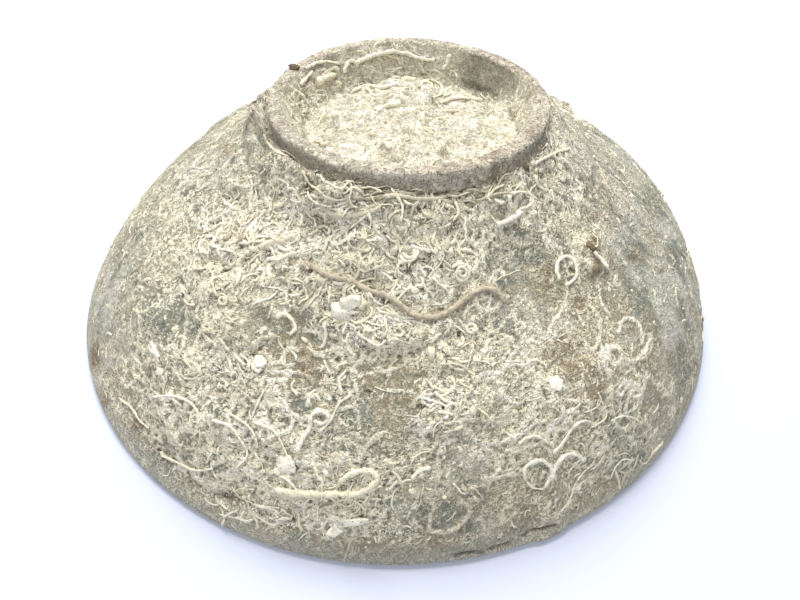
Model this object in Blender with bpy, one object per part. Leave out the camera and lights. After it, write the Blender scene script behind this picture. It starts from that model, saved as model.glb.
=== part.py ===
"""A shallow stoneware tea bowl that lies upside down on its rim, with its foot ring up.

The bowl is one fired piece: a flaring wall, a low foot ring around a well, and the lime crust
of sea worms that has grown fast to the outside and into the well. All lengths are in metres.
The origin is in the middle of the rim, on the table, and +Z points up to the foot.
"""

import math
from collections import namedtuple

import bmesh
import bpy
from mathutils import Vector, noise

# Rim and wall
RIM_RADIUS = 0.0750
RIM_WALL = 0.0032
RIM_ROUNDING = 0.0011
MIDDLE_WALL = 0.0040
RIM_SLOPE = math.radians(59)
FOOT_SLOPE = math.radians(38)
RIM_PULL = 0.48
FOOT_PULL = 0.60
OFFSET_SHARE = 0.66
BOTTOM_PULL = 0.42

# Foot ring, with its height measured from the table to the lip
LIP_HEIGHT = 0.0484
FOOT_RADIUS = 0.0284
FOOT_WAIST = 0.0005
FOOT_RING_HEIGHT = 0.0046
FOOT_LIP_WIDTH = 0.0037
FOOT_ROUNDING = 0.0012
WELL_DEPTH = 0.0085
WELL_TAPER = 0.0018
WELL_FILLET = 0.0026
BASE_WALL = 0.0046

# How the bowl warped in the kiln
FOOT_TILT = math.radians(1.8)
TILT_REACH = 0.010
FOOT_SHIFT = 0.0022
BELLY_SHIFT = 0.0028

# How finely the mesh is divided: the inside and the floor of the well have half as many sides
OUTSIDE_SIDES = 108
INSIDE_SIDES = OUTSIDE_SIDES // 2
WALL_STEPS = 22
INSIDE_STEPS = 6
BOTTOM_STEPS = 4
FLOOR_STEPS = 8
ROUND_STEPS = 2
SHARP_ANGLE = math.radians(50)

# The most that an edge's radius may take of the wall or lip that it rounds
LARGEST_ROUNDING = 0.4

# Crust on the wall. A patch has the azimuth of its middle in degrees, its place between rim (0)
# and foot (1), its reach around in degrees, its reach up as a share, and its thickness.
Patch = namedtuple("Patch", "name azimuth share around up thick")
WALL_CRUST = (
    Patch("ledge under the foot", 262, 0.965, 30, 0.045, 0.0022),
    Patch("front mat", 264, 0.81, 31, 0.16, 0.0022),
    Patch("left mat", 228, 0.69, 19, 0.22, 0.0022),
    Patch("left shoulder", 192, 0.93, 26, 0.11, 0.0026),
    Patch("lower mat", 278, 0.55, 11, 0.21, 0.0015),
    Patch("low left mat", 243, 0.21, 18, 0.15, 0.0013),
    Patch("left edge mat", 222, 0.34, 12, 0.12, 0.0013),
    Patch("right knob", 320, 0.77, 6, 0.07, 0.0022),
    Patch("white coil", 304, 0.94, 9, 0.06, 0.0022),
    Patch("right mat", 300, 0.40, 10, 0.14, 0.0010),
    Patch("right shoulder", 352, 0.94, 22, 0.09, 0.0014),
    Patch("back mat", 75, 0.82, 34, 0.15, 0.0018),
    Patch("back left mat", 138, 0.55, 20, 0.21, 0.0015),
    Patch("crust right of the ring", 43, 0.76, 13, 0.17, 0.0024),
)

# Crust on the floor of the well: place of its middle and its reach as shares of the floor's
# radius, and its thickness
Mound = namedtuple("Mound", "name x y reach thick")
WELL_CRUST = (
    Mound("middle mound", 0.05, -0.10, 0.62, 0.0019),
    Mound("left mound", -0.62, 0.22, 0.36, 0.0024),
    Mound("back mound", 0.00, 0.68, 0.40, 0.0024),
    Mound("right mound", 0.66, -0.05, 0.32, 0.0013),
)

# Size of the lumps in the crust, how much of its thickness they take, and how steep its edge is
LUMP_SIZE = 0.0034
LUMP_SHARE = 0.85
EDGE_SHARE = 0.35

# A flake that has lifted off the rim
FLAKE_AZIMUTH = 290
FLAKE_AROUND = 8
FLAKE_UP = 0.07
FLAKE_DEPTH = 0.0008

CLAY_COLOUR = (0.46, 0.43, 0.34, 1.0)
CLAY_ROUGHNESS = 0.88

# A station is one ring of the turned section: its radius and height, the way that its surface
# faces, and the function that gives the relief there
Station = namedtuple("Station", "radius height out up relief share")


def remove_all():
    """Empties the scene."""
    for thing in list(bpy.data.objects):
        bpy.data.objects.remove(thing, do_unlink=True)


def clay_material():
    """Pale olive-grey clay under a film of dirt and lime."""
    material = bpy.data.materials.new("crusted_clay")
    material.use_nodes = True
    shader = material.node_tree.nodes["Principled BSDF"]
    shader.inputs["Base Color"].default_value = CLAY_COLOUR
    shader.inputs["Roughness"].default_value = CLAY_ROUGHNESS
    shader.inputs["Metallic"].default_value = 0.0
    return material


def ease(t):
    """Goes smoothly from 0 to 1 as t does."""
    t = min(max(t, 0.0), 1.0)
    return t * t * (3.0 - 2.0 * t)


def bezier(points, t):
    """A point on a cubic curve, and its direction there."""
    a, b, c, d = points
    s = 1.0 - t
    place = a * s**3 + b * 3 * s * s * t + c * 3 * s * t * t + d * t**3
    along = (b - a) * s * s + (c - b) * 2 * s * t + (d - c) * t * t
    return place, along.normalized()


def rim_rounding():
    """Radius of the rim's edge, which the wall's thickness limits."""
    return min(RIM_ROUNDING, LARGEST_ROUNDING * RIM_WALL)


def rim_rest_width():
    """Width of the flat that the bowl stands on."""
    return (RIM_WALL - 2 * rim_rounding()) / math.sin(RIM_SLOPE)


def foot_rounding():
    """Radius of the foot lip's edges, which the lip's width limits."""
    return min(FOOT_ROUNDING, LARGEST_ROUNDING * FOOT_LIP_WIDTH)


def junction_height():
    """Height at which the foot ring meets the wall."""
    return LIP_HEIGHT - FOOT_RING_HEIGHT


def wall_curve():
    """The outside of the wall in the plane of the section, from rim to foot."""
    edge = rim_rounding()
    start = Vector((RIM_RADIUS - edge, edge))
    start += edge * Vector((math.sin(RIM_SLOPE), math.cos(RIM_SLOPE)))
    end = Vector((FOOT_RADIUS - FOOT_WAIST, junction_height()))
    span = (end - start).length
    after_start = start + RIM_PULL * span * Vector((-math.cos(RIM_SLOPE), math.sin(RIM_SLOPE)))
    before_end = end + FOOT_PULL * span * Vector((math.cos(FOOT_SLOPE), -math.sin(FOOT_SLOPE)))
    return start, after_start, before_end, end


def smooth_relief(azimuth, share):
    """No relief: the turned surface as it is."""
    return 0.0


def lumps(x, y, z):
    """The uneven top of the crust, as a share of its thickness."""
    wave = noise.noise(Vector((x, y, z)) / LUMP_SIZE)
    return 1.0 - LUMP_SHARE * (0.5 + wave)


def cover(near):
    """How much of a patch's thickness is left at a distance, where its reach is 1."""
    return ease((1.0 - near) / EDGE_SHARE)


def wall_relief(azimuth, share):
    """Thickness of the crust on the wall, less the flake at the rim."""
    place, _ = bezier(wall_curve(), share)
    turn = math.radians(azimuth)
    crust = 0.0
    for patch in WALL_CRUST:
        away = (azimuth - patch.azimuth + 180) % 360 - 180
        near = math.hypot(away / patch.around, (share - patch.share) / patch.up)
        crust = max(crust, patch.thick * cover(near))
    crust *= lumps(place.x * math.cos(turn), place.x * math.sin(turn), place.y)
    away = (azimuth - FLAKE_AZIMUTH + 180) % 360 - 180
    flake = cover(math.hypot(away / FLAKE_AROUND, share / FLAKE_UP))
    return crust - FLAKE_DEPTH * flake


def floor_relief(azimuth, share):
    """Thickness of the crust on the floor of the well, share of its radius from the middle."""
    turn = math.radians(azimuth)
    x = share * math.cos(turn)
    y = share * math.sin(turn)
    crust = 0.0
    for mound in WELL_CRUST:
        near = math.hypot(x - mound.x, y - mound.y) / mound.reach
        crust = max(crust, mound.thick * cover(near))
    return crust * lumps(x * FOOT_RADIUS, y * FOOT_RADIUS, 0.0) * cover(share)


def arc_stations(centre_radius, centre_height, radius, first, last):
    """Stations round an edge, from one direction to another in degrees, both included."""
    stations = []
    for step in range(ROUND_STEPS + 1):
        angle = math.radians(first + (last - first) * step / ROUND_STEPS)
        out = math.cos(angle)
        up = math.sin(angle)
        place = (centre_radius + radius * out, centre_height + radius * up)
        stations.append(Station(*place, out, up, smooth_relief, 0.0))
    return stations


def floor_height():
    """Height of the floor of the well."""
    return LIP_HEIGHT - WELL_DEPTH


def floor_radius():
    """Radius of the flat floor of the well, up to its fillet."""
    return FOOT_RADIUS - FOOT_LIP_WIDTH - WELL_TAPER - WELL_FILLET


def floor_stations():
    """The floor of the well from near its middle outwards."""
    stations = []
    for step in range(1, FLOOR_STEPS + 1):
        share = step / FLOOR_STEPS
        stations.append(Station(floor_radius() * share, floor_height(), 0.0, 1.0, floor_relief, share))
    return stations


def fillet_stations():
    """Up from the floor of the well into the foot ring's inner side."""
    stations = []
    for step in range(1, ROUND_STEPS + 1):
        angle = math.radians(90 * step / ROUND_STEPS)
        out = -math.sin(angle)
        up = math.cos(angle)
        radius = floor_radius() - WELL_FILLET * out
        height = floor_height() + WELL_FILLET * (1 - up)
        stations.append(Station(radius, height, out, up, smooth_relief, 0.0))
    return stations


def lip_stations():
    """Over the lip of the foot ring, from its inner side to its outer side."""
    edge = foot_rounding()
    height = LIP_HEIGHT - edge
    inner = FOOT_RADIUS - FOOT_LIP_WIDTH
    stations = arc_stations(inner + edge, height, edge, 180, 90)
    stations += arc_stations(FOOT_RADIUS - edge, height, edge, 90, 0)
    return stations


def wall_stations():
    """Down the outside of the wall, from the foot to the rim."""
    stations = []
    for step in range(WALL_STEPS + 1):
        share = 1.0 - step / WALL_STEPS
        place, along = bezier(wall_curve(), share)
        stations.append(Station(place.x, place.y, along.y, -along.x, wall_relief, share))
    return stations


def rim_stations():
    """Round the outer edge of the rim to the far side of its flat, and round its inner edge."""
    edge = rim_rounding()
    facing = 90 - math.degrees(RIM_SLOPE)
    outer = arc_stations(RIM_RADIUS - edge, edge, edge, facing, -90)
    inner_middle = RIM_RADIUS - edge - rim_rest_width()
    inner = arc_stations(inner_middle, edge, edge, -90, facing - 180)
    return outer[1:] + inner[:1], inner[1:]


def inner_wall(share):
    """A point on the inside of the wall, and the direction of the wall there."""
    place, along = bezier(wall_curve(), share)
    wall = RIM_WALL + (MIDDLE_WALL - RIM_WALL) * share / OFFSET_SHARE
    return place - wall * Vector((along.y, -along.x)), along


def inside_stations():
    """Up the inside from the rim, at the wall's thickness, then in a curve to the middle."""
    stations = []
    for step in range(1, INSIDE_STEPS + 1):
        place, along = inner_wall(OFFSET_SHARE * step / INSIDE_STEPS)
        stations.append(Station(place.x, place.y, -along.y, along.x, smooth_relief, 0.0))
    start, along = inner_wall(OFFSET_SHARE)
    middle = Vector((0.0, floor_height() - BASE_WALL))
    pull = BOTTOM_PULL * start.x
    curve = (start, start + pull * along, middle + Vector((pull, 0.0)), middle)
    for step in range(1, BOTTOM_STEPS):
        place, along = bezier(curve, step / BOTTOM_STEPS)
        stations.append(Station(place.x, place.y, -along.y, along.x, smooth_relief, 0.0))
    return stations


def warp(radius, height, azimuth):
    """Carries a point of the true turned shape to where the kiln left it."""
    turn = math.radians(azimuth)
    part = height / LIP_HEIGHT
    drift = (4 * BELLY_SHIFT - FOOT_SHIFT) * part + (2 * FOOT_SHIFT - 4 * BELLY_SHIFT) * part * part
    x = drift + radius * math.cos(turn)
    y = radius * math.sin(turn)
    lean = math.tan(FOOT_TILT) * ease((height - junction_height() + TILT_REACH) / TILT_REACH)
    return Vector((x, y, height - lean * y))


def add_ring(mesh, station, sides):
    """One ring of vertices, raised by the station's relief."""
    ring = []
    for side in range(sides):
        azimuth = 360.0 * side / sides
        raised = station.relief(azimuth, station.share)
        radius = station.radius + raised * station.out
        height = station.height + raised * station.up
        ring.append(mesh.verts.new(warp(radius, height, azimuth)))
    return ring


def join_rings(mesh, first, second):
    """A band of faces between two rings, which may differ by a factor of two in their sides."""
    fine, coarse = (second, first) if len(second) > len(first) else (first, second)
    for side in range(len(coarse)):
        after = (side + 1) % len(coarse)
        if len(fine) == len(coarse):
            faces = [(fine[side], coarse[side], coarse[after], fine[after])]
        else:
            middle = fine[2 * side + 1]
            faces = [(fine[2 * side], coarse[side], middle), (middle, coarse[side], coarse[after])]
            faces.append((middle, coarse[after], fine[2 * after]))
        for corners in faces:
            mesh.faces.new(corners if fine is first else corners[::-1])


def close_ring(mesh, ring, middle, upward):
    """A fan of faces from a ring to its middle."""
    for side, corner in enumerate(ring):
        after = ring[(side + 1) % len(ring)]
        mesh.faces.new((middle, corner, after) if upward else (middle, after, corner))


def make_bowl(material):
    """The whole bowl as one closed body."""
    outside, inner_edge = rim_stations()
    mesh = bmesh.new()
    rings = []
    for station in floor_stations():
        rings.append(add_ring(mesh, station, INSIDE_SIDES))
    for station in fillet_stations() + lip_stations() + wall_stations() + outside:
        rings.append(add_ring(mesh, station, OUTSIDE_SIDES))
    for station in inner_edge + inside_stations():
        rings.append(add_ring(mesh, station, INSIDE_SIDES))
    for first, second in zip(rings, rings[1:]):
        join_rings(mesh, first, second)
    floor_middle = warp(0.0, floor_height() + floor_relief(0, 0.0), 0)
    inside_middle = warp(0.0, floor_height() - BASE_WALL, 0)
    close_ring(mesh, rings[0], mesh.verts.new(floor_middle), True)
    close_ring(mesh, rings[-1], mesh.verts.new(inside_middle), False)
    data = bpy.data.meshes.new("bowl")
    mesh.to_mesh(data)
    mesh.free()
    data.materials.append(material)
    data.shade_smooth()
    data.set_sharp_from_angle(angle=SHARP_ANGLE)
    bowl = bpy.data.objects.new("bowl", data)
    bpy.context.scene.collection.objects.link(bowl)
    return bowl


def main():
    remove_all()
    make_bowl(clay_material())


main()
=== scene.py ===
"""The looks of a shallow tea bowl that sea worms have crusted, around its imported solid.

The bowl lies upside down on its rim. A fine shell takes the solid's place: it has the same
turned and warped form with a rough, flaking skin. Worm tubes, grit and shells are grown on it.
Lengths are in metres, and those in millimetres are written as multiples of MM. Pixels are those
of an 800 by 600 picture taken by the camera below.
"""

import itertools
import math
import random
from collections import namedtuple

import bmesh
import bpy
import numpy as np
from mathutils import Matrix, Vector, noise
from mathutils.bvhtree import BVHTree
from mathutils.kdtree import KDTree


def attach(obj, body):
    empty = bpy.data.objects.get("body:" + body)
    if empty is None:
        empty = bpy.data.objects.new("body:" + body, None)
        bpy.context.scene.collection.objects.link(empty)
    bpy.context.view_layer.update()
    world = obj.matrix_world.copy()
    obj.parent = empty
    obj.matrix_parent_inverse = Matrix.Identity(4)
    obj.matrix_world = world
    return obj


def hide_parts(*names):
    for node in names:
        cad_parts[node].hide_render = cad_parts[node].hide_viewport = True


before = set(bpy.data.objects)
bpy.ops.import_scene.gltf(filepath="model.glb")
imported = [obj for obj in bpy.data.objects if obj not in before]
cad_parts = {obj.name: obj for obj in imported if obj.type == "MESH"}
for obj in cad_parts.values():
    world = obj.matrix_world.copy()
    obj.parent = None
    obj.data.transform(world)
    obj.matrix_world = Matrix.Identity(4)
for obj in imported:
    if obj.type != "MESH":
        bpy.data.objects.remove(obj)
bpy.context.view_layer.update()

MM = 0.001

# Camera
PICTURE_WIDTH = 800
PICTURE_HEIGHT = 600
FOCAL_PIXELS = 600
SENSOR_WIDTH = 36
CAMERA_PLACE = Vector((1.25, -111.5, 108.7)) * MM
CAMERA_PITCH = math.radians(47.45)
CAMERA_ROLL = math.radians(0.98)

# The bowl's own sizes, as its solid has them
RIM_RADIUS = 75.0 * MM
RIM_WALL = 3.2 * MM
RIM_ROUNDING = 1.1 * MM
MIDDLE_WALL = 4.0 * MM
RIM_SLOPE = math.radians(59)
FOOT_SLOPE = math.radians(38)
RIM_PULL = 0.48
FOOT_PULL = 0.60
OFFSET_SHARE = 0.66
BOTTOM_PULL = 0.42
LIP_HEIGHT = 48.4 * MM
FOOT_RADIUS = 28.4 * MM
FOOT_WAIST = 0.5 * MM
FOOT_RING_HEIGHT = 4.6 * MM
FOOT_LIP_WIDTH = 3.7 * MM
FOOT_ROUNDING = 1.2 * MM
WELL_DEPTH = 8.5 * MM
WELL_TAPER = 1.8 * MM
WELL_FILLET = 2.6 * MM
BASE_WALL = 4.6 * MM
FOOT_TILT = math.radians(1.8)
TILT_REACH = 10.0 * MM
FOOT_SHIFT = 2.2 * MM
BELLY_SHIFT = 2.8 * MM

FLOOR_HEIGHT = LIP_HEIGHT - WELL_DEPTH
JUNCTION_HEIGHT = LIP_HEIGHT - FOOT_RING_HEIGHT
INNER_LIP_RADIUS = FOOT_RADIUS - FOOT_LIP_WIDTH
FLOOR_RADIUS = INNER_LIP_RADIUS - WELL_TAPER - WELL_FILLET
RIM_REST_WIDTH = (RIM_WALL - 2 * RIM_ROUNDING) / math.sin(RIM_SLOPE)

# How finely the shell is divided
SIDES = 448
WALL_RINGS = 84
FLOOR_RINGS = 62
FILLET_RINGS = 9
INNER_RINGS = 15
INSIDE_RINGS = 24
BOTTOM_RINGS = 14

# The finer sheet of crust over the side that the picture shows, with the azimuth of its middle,
# half its reach around in degrees, and its reach from rim (0) to foot (1)
SHEET_MIDDLE = 270
SHEET_HALF = 120
SHEET_LOW = 0.05
SHEET_HIGH = 0.985
SHEET_COLUMNS = 500
SHEET_ROWS = 180
SHEET_STEP = 10
SHEET_SINK = 0.35 * MM
SHEET_THICK = 0.8 * MM
WALL_LENGTH = 64.0 * MM

# Smears of film: the radius at which their noise is taken, and the wall's length as a share of it
FILM_ROUND = 57.0 * MM
FILM_STRETCH = 0.4

# Zones of the shell
FLOOR, RING, WALL, RIM, INSIDE = range(5)


def named(kind, **rows):
    """A table of one kind of thing; the names of its rows are there for the reader."""
    return tuple(kind(*row) for row in rows.values())


# Low crust of the solid: azimuth, share of the wall, reach around and up, thickness
Patch = namedtuple("Patch", "azimuth share around up thick")
WALL_CRUST = named(Patch,
    ledge_under_the_foot=(262, 0.965, 30, 0.045, 2.2 * MM),
    front_mat=(264, 0.81, 31, 0.16, 2.2 * MM),
    left_mat=(228, 0.69, 19, 0.22, 2.2 * MM),
    left_shoulder=(192, 0.93, 26, 0.11, 2.6 * MM),
    lower_mat=(278, 0.55, 11, 0.21, 1.5 * MM),
    low_left_mat=(243, 0.21, 18, 0.15, 1.3 * MM),
    left_edge_mat=(222, 0.34, 12, 0.12, 1.3 * MM),
    right_knob=(320, 0.77, 6, 0.07, 2.2 * MM),
    white_coil=(304, 0.94, 9, 0.06, 2.2 * MM),
    right_mat=(300, 0.40, 10, 0.14, 1.0 * MM),
    right_shoulder=(352, 0.94, 22, 0.09, 1.4 * MM),
    back_mat=(75, 0.82, 34, 0.15, 1.8 * MM),
    back_left_mat=(138, 0.55, 20, 0.21, 1.5 * MM),
    crust_right_of_the_ring=(43, 0.76, 13, 0.17, 2.4 * MM),
)
Mound = namedtuple("Mound", "x y reach thick")
WELL_CRUST = named(Mound,
    middle_mound=(0.05, -0.10, 0.62, 1.9 * MM),
    left_mound=(-0.62, 0.22, 0.36, 2.4 * MM),
    back_mound=(0.00, 0.68, 0.40, 2.4 * MM),
    right_mound=(0.66, -0.05, 0.32, 1.3 * MM),
)
LUMP_SIZE = 3.4 * MM
LUMP_SHARE = 0.60
EDGE_SHARE = 0.35
FLAKE_AZIMUTH = 289.5
FLAKE_AROUND = 6
FLAKE_UP = 0.05
FLAKE_DEPTH = 0.5 * MM
CRACK_DEPTH = 0.45 * MM
CRACK_WIDTH = 0.0025
BULGE_AZIMUTH = 292.5
BULGE_AROUND = 2.6
BULGE_THICK = 0.5 * MM
BULGE_TOP = 0.022

# The skin of the wall and the well: where it is calm, banded or bare clay, how much of the solid's
# crust shows through, and the gap, a groove with painted shade, and the heap of lime at the foot
# ring. The heap's thicknesses are in millimetres, its place in degrees, and the rest without MM are
# shares of the wall.
RIM_CALM = 0.045
RIM_BAND = 0.05
CLAY_START = 0.992
CLAY_BAND = 0.008
SOLID_SHARE = 0.7
SHEET_BLEND = 1.2 * MM
GROOVE_START = 0.975
GROOVE_DEPTH = 0.3 * MM
HEAP_START = 0.89
HEAP_THICK = 1.8
HEAP_LEFT_THICK = 1.6
HEAP_LEFT_AZIMUTH = 200
HEAP_LEFT_HALF = 70
WELL_EDGE = 0.4

# Cracks over the flake: degrees from its middle, half their length in degrees, and their reach up
Crack = namedtuple("Crack", "middle half top")
CRACKS = named(Crack,
    right=(1.5, 3.2, 0.016),
    middle=(-4.0, 1.3, 0.008),
    left=(-8.3, 1.6, 0.007),
)

# Where worm tubes grow thick on the side that the camera sees: middle and reach in pixels, how
# thick the growth is from 0 to 1, and turn in degrees
Spot = namedtuple("Spot", "x y rx ry strength turn", defaults=(0,))
MATS = named(Spot,
    front_mat=(345, 262, 92, 52, 1.0),
    mat_below_the_foot=(395, 216, 90, 18, 0.9),
    mat_left_of_the_front=(262, 222, 62, 30, 0.8, -10),
    left_mat=(228, 272, 40, 40, 0.65),
    mat_right_of_the_front=(452, 242, 36, 34, 0.75),
    mat_bottom=(372, 332, 52, 22, 1.0, 15),
    lower_mat_top=(462, 348, 36, 24, 0.6),
    lower_mat_bottom=(450, 402, 26, 26, 0.85),
    patch_by_the_tan_skin=(335, 385, 24, 20, 0.5, 10),
    left_patch=(232, 372, 36, 28, 0.42),
    left_edge_patch=(160, 365, 14, 26, 0.35),
    loops=(235, 440, 70, 34, 0.08, 10),
    bottom_mat=(350, 488, 44, 20, 0.55),
    bottom_left_mat=(258, 508, 52, 15, 0.5, 12),
    bottom_middle=(415, 478, 34, 18, 0.35),
    right_middle=(520, 400, 56, 54, 0.10, -20),
    right_shoulder=(548, 182, 36, 40, 0.28),
    left_shoulder=(215, 195, 42, 34, 0.35, -30),
    left_side=(150, 285, 30, 50, 0.12),
    crust_right_of_the_ring=(574, 104, 34, 12, 0.8, 33),
)

# Where thin tubes lie in long arcs and loops
LOOPS = named(Spot,
    lower_left=(225, 440, 85, 45, 0.7, 10),
    left=(185, 350, 50, 50, 0.4),
    bottom=(330, 500, 90, 30, 0.8),
    right_of_the_middle=(520, 400, 70, 80, 0.5, -20),
    right=(620, 420, 50, 90, 0.6),
    right_of_the_coil=(500, 250, 50, 50, 0.6),
)

# Where brown and tan dirt lies on the glaze
DIRT = named(Spot,
    centre=(405, 400, 60, 60, 0.9),
    tan_skin=(302, 365, 34, 42, 1.0, 10),
    right_of_the_mat=(530, 290, 40, 50, 0.8),
    right_middle=(580, 370, 60, 70, 1.0),
    low_right=(550, 480, 80, 50, 0.6, -20),
    bottom=(430, 525, 120, 24, 0.7, -4),
    left_edge=(115, 380, 18, 50, 0.9),
    lower_left=(265, 465, 60, 40, 0.7),
    left_mat=(235, 250, 60, 40, 0.6),
)

# Bare places, where the glaze or a smooth skin of dirt shows
BARE = named(Spot,
    grey_glaze_left=(172, 322, 26, 22, 0.9),
    tan_skin=(302, 352, 34, 22, 0.8, 20),
    tan_skin_below=(305, 385, 22, 24, 0.7),
    round_bare_spot=(290, 272, 16, 20, 1.0),
    bare_below_it=(300, 308, 26, 20, 0.95, 10),
    smooth_right_of_the_mat=(528, 285, 46, 46, 0.75),
    grey_glaze_by_the_coil=(492, 240, 18, 16, 0.7),
    smooth_centre=(385, 395, 46, 40, 0.6),
    smooth_below_the_lower_mat=(468, 520, 60, 22, 0.5, -8),
    grey_glaze_low_left=(225, 408, 30, 16, 0.5),
    rim_band=(393, 552, 160, 10, 0.9),
    calm_right_edge=(655, 270, 50, 100, 0.8, -8),
    calm_right_shoulder=(600, 165, 46, 44, 0.7, 35),
    calm_left_edge=(122, 300, 30, 70, 0.65, 12),
    calm_left_shoulder=(200, 165, 50, 30, 0.5, -35),
    calm_low_right=(640, 420, 40, 60, 0.4, 20),
)

# Small gaps in the mats, where the glaze shows: middle and reach in pixels
GAPS = (
    (247, 187, 10, 4), (240, 197, 6, 5), (244, 206, 6, 7), (272, 200, 7, 9), (235, 229, 9, 7),
    (188, 229, 12, 11), (200, 211, 9, 11), (224, 271, 15, 9), (281, 184, 6, 8), (284, 274, 13, 16),
    (427, 235, 19, 6), (469, 233, 10, 9), (385, 285, 14, 7), (439, 291, 11, 9), (507, 247, 24, 24),
    (371, 265, 5, 4), (396, 239, 9, 5), (425, 325, 16, 12), (398, 305, 9, 7), (300, 318, 20, 18),
    (252, 322, 22, 12), (480, 268, 10, 14), (335, 345, 18, 9), (412, 348, 14, 10), (210, 318, 16, 10),
)
GAPS = tuple(Spot(*gap, 0.95) for gap in GAPS)

# Orange and brown stains
STAINS = named(Spot,
    stain_at_the_left_edge=(95, 357, 5, 14, 1.0),
    stain_below_it=(104, 400, 5, 8, 0.9),
    shoulder_stain=(233, 154, 10, 6, 0.7),
    left_stain=(207, 238, 10, 7, 0.8),
    stain_by_the_tan_skin=(310, 375, 14, 12, 0.7),
    low_stain=(233, 494, 12, 6, 0.8),
    low_left_stain=(137, 424, 6, 8, 0.9),
    brown_knob=(590, 244, 6, 6, 1.0),
    brown_streak=(592, 262, 5, 20, 0.9, -8),
    brown_left_of_the_streak=(580, 303, 7, 6, 0.9),
    brown_above=(593, 218, 5, 5, 0.6),
    brown_below=(596, 397, 8, 12, 0.8),
    tan_right=(562, 350, 20, 16, 0.5),
    tan_right_lower=(576, 362, 12, 12, 0.5),
    dark_spot=(631, 258, 6, 4, 0.9, -30),
    brown_at_the_right=(658, 270, 6, 4, 0.7),
)

# Bare places in the well
WELL_BARE = named(Spot,
    glaze_at_the_back_right=(487, 72, 30, 27, 1.0, 20),
    grey_at_the_back_left=(320, 59, 17, 8, 0.9, -15),
)

# Places with a thick pale film
PALE = named(Spot,
    crust_right_of_the_ring=(574, 104, 36, 14, 1.0, 33),
    right_shoulder=(600, 160, 46, 46, 0.7, 35),
    right_edge=(672, 285, 30, 80, 1.0, -8),
    right_of_the_streak=(632, 235, 34, 50, 0.8),
    low_right_edge=(652, 400, 26, 60, 0.6, 15),
    right_middle=(548, 325, 46, 56, 0.5),
    left_shoulder=(220, 168, 50, 36, 0.7, -30),
    left_edge=(118, 300, 22, 60, 0.8, 14),
    lower_left_edge=(112, 385, 16, 40, 0.8),
    front=(345, 255, 110, 70, 0.6),
    lower_left=(235, 445, 70, 36, 0.25, 10),
    low_middle=(440, 465, 70, 40, 0.3),
    bottom=(350, 522, 90, 18, 0.4, 4),
)

# Dirt and glaze on the outer side of the foot ring
RING_DIRT = named(Spot,
    left_front=(292, 160, 36, 26, 0.6, 30),
    front=(345, 182, 44, 12, 0.8, 5),
    right_front=(500, 172, 26, 12, 0.6, -25),
    left=(268, 120, 8, 24, 0.3),
)
RING_GREY = named(Spot,
    right=(530, 145, 18, 26, 0.9, 30),
    front=(400, 186, 30, 7, 0.4),
)

# Where the grey-green glaze shows through
GREY = named(Spot,
    left=(172, 322, 32, 26, 1.0),
    low_left=(285, 410, 24, 18, 1.0),
    left_of_it=(228, 402, 32, 16, 0.9),
    below_the_first_arc=(176, 415, 24, 18, 0.7),
    above_the_flat_tube=(262, 470, 22, 12, 0.7),
    by_the_coil=(508, 240, 34, 26, 0.9),
    right_of_the_ring=(560, 180, 40, 30, 0.8, 30),
    right_of_the_lower_mat=(525, 335, 30, 30, 0.6),
    right=(640, 290, 18, 36, 0.45, -10),
    low_right=(610, 440, 40, 26, 0.7, -40),
    bottom=(400, 520, 70, 16, 0.8, -3),
    upper_left=(205, 190, 30, 22, 0.8, -20),
    centre=(350, 430, 30, 24, 0.5),
    lower_left=(225, 450, 60, 28, 0.7, 10),
    tan_skin=(318, 350, 34, 30, 0.4),
)

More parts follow.
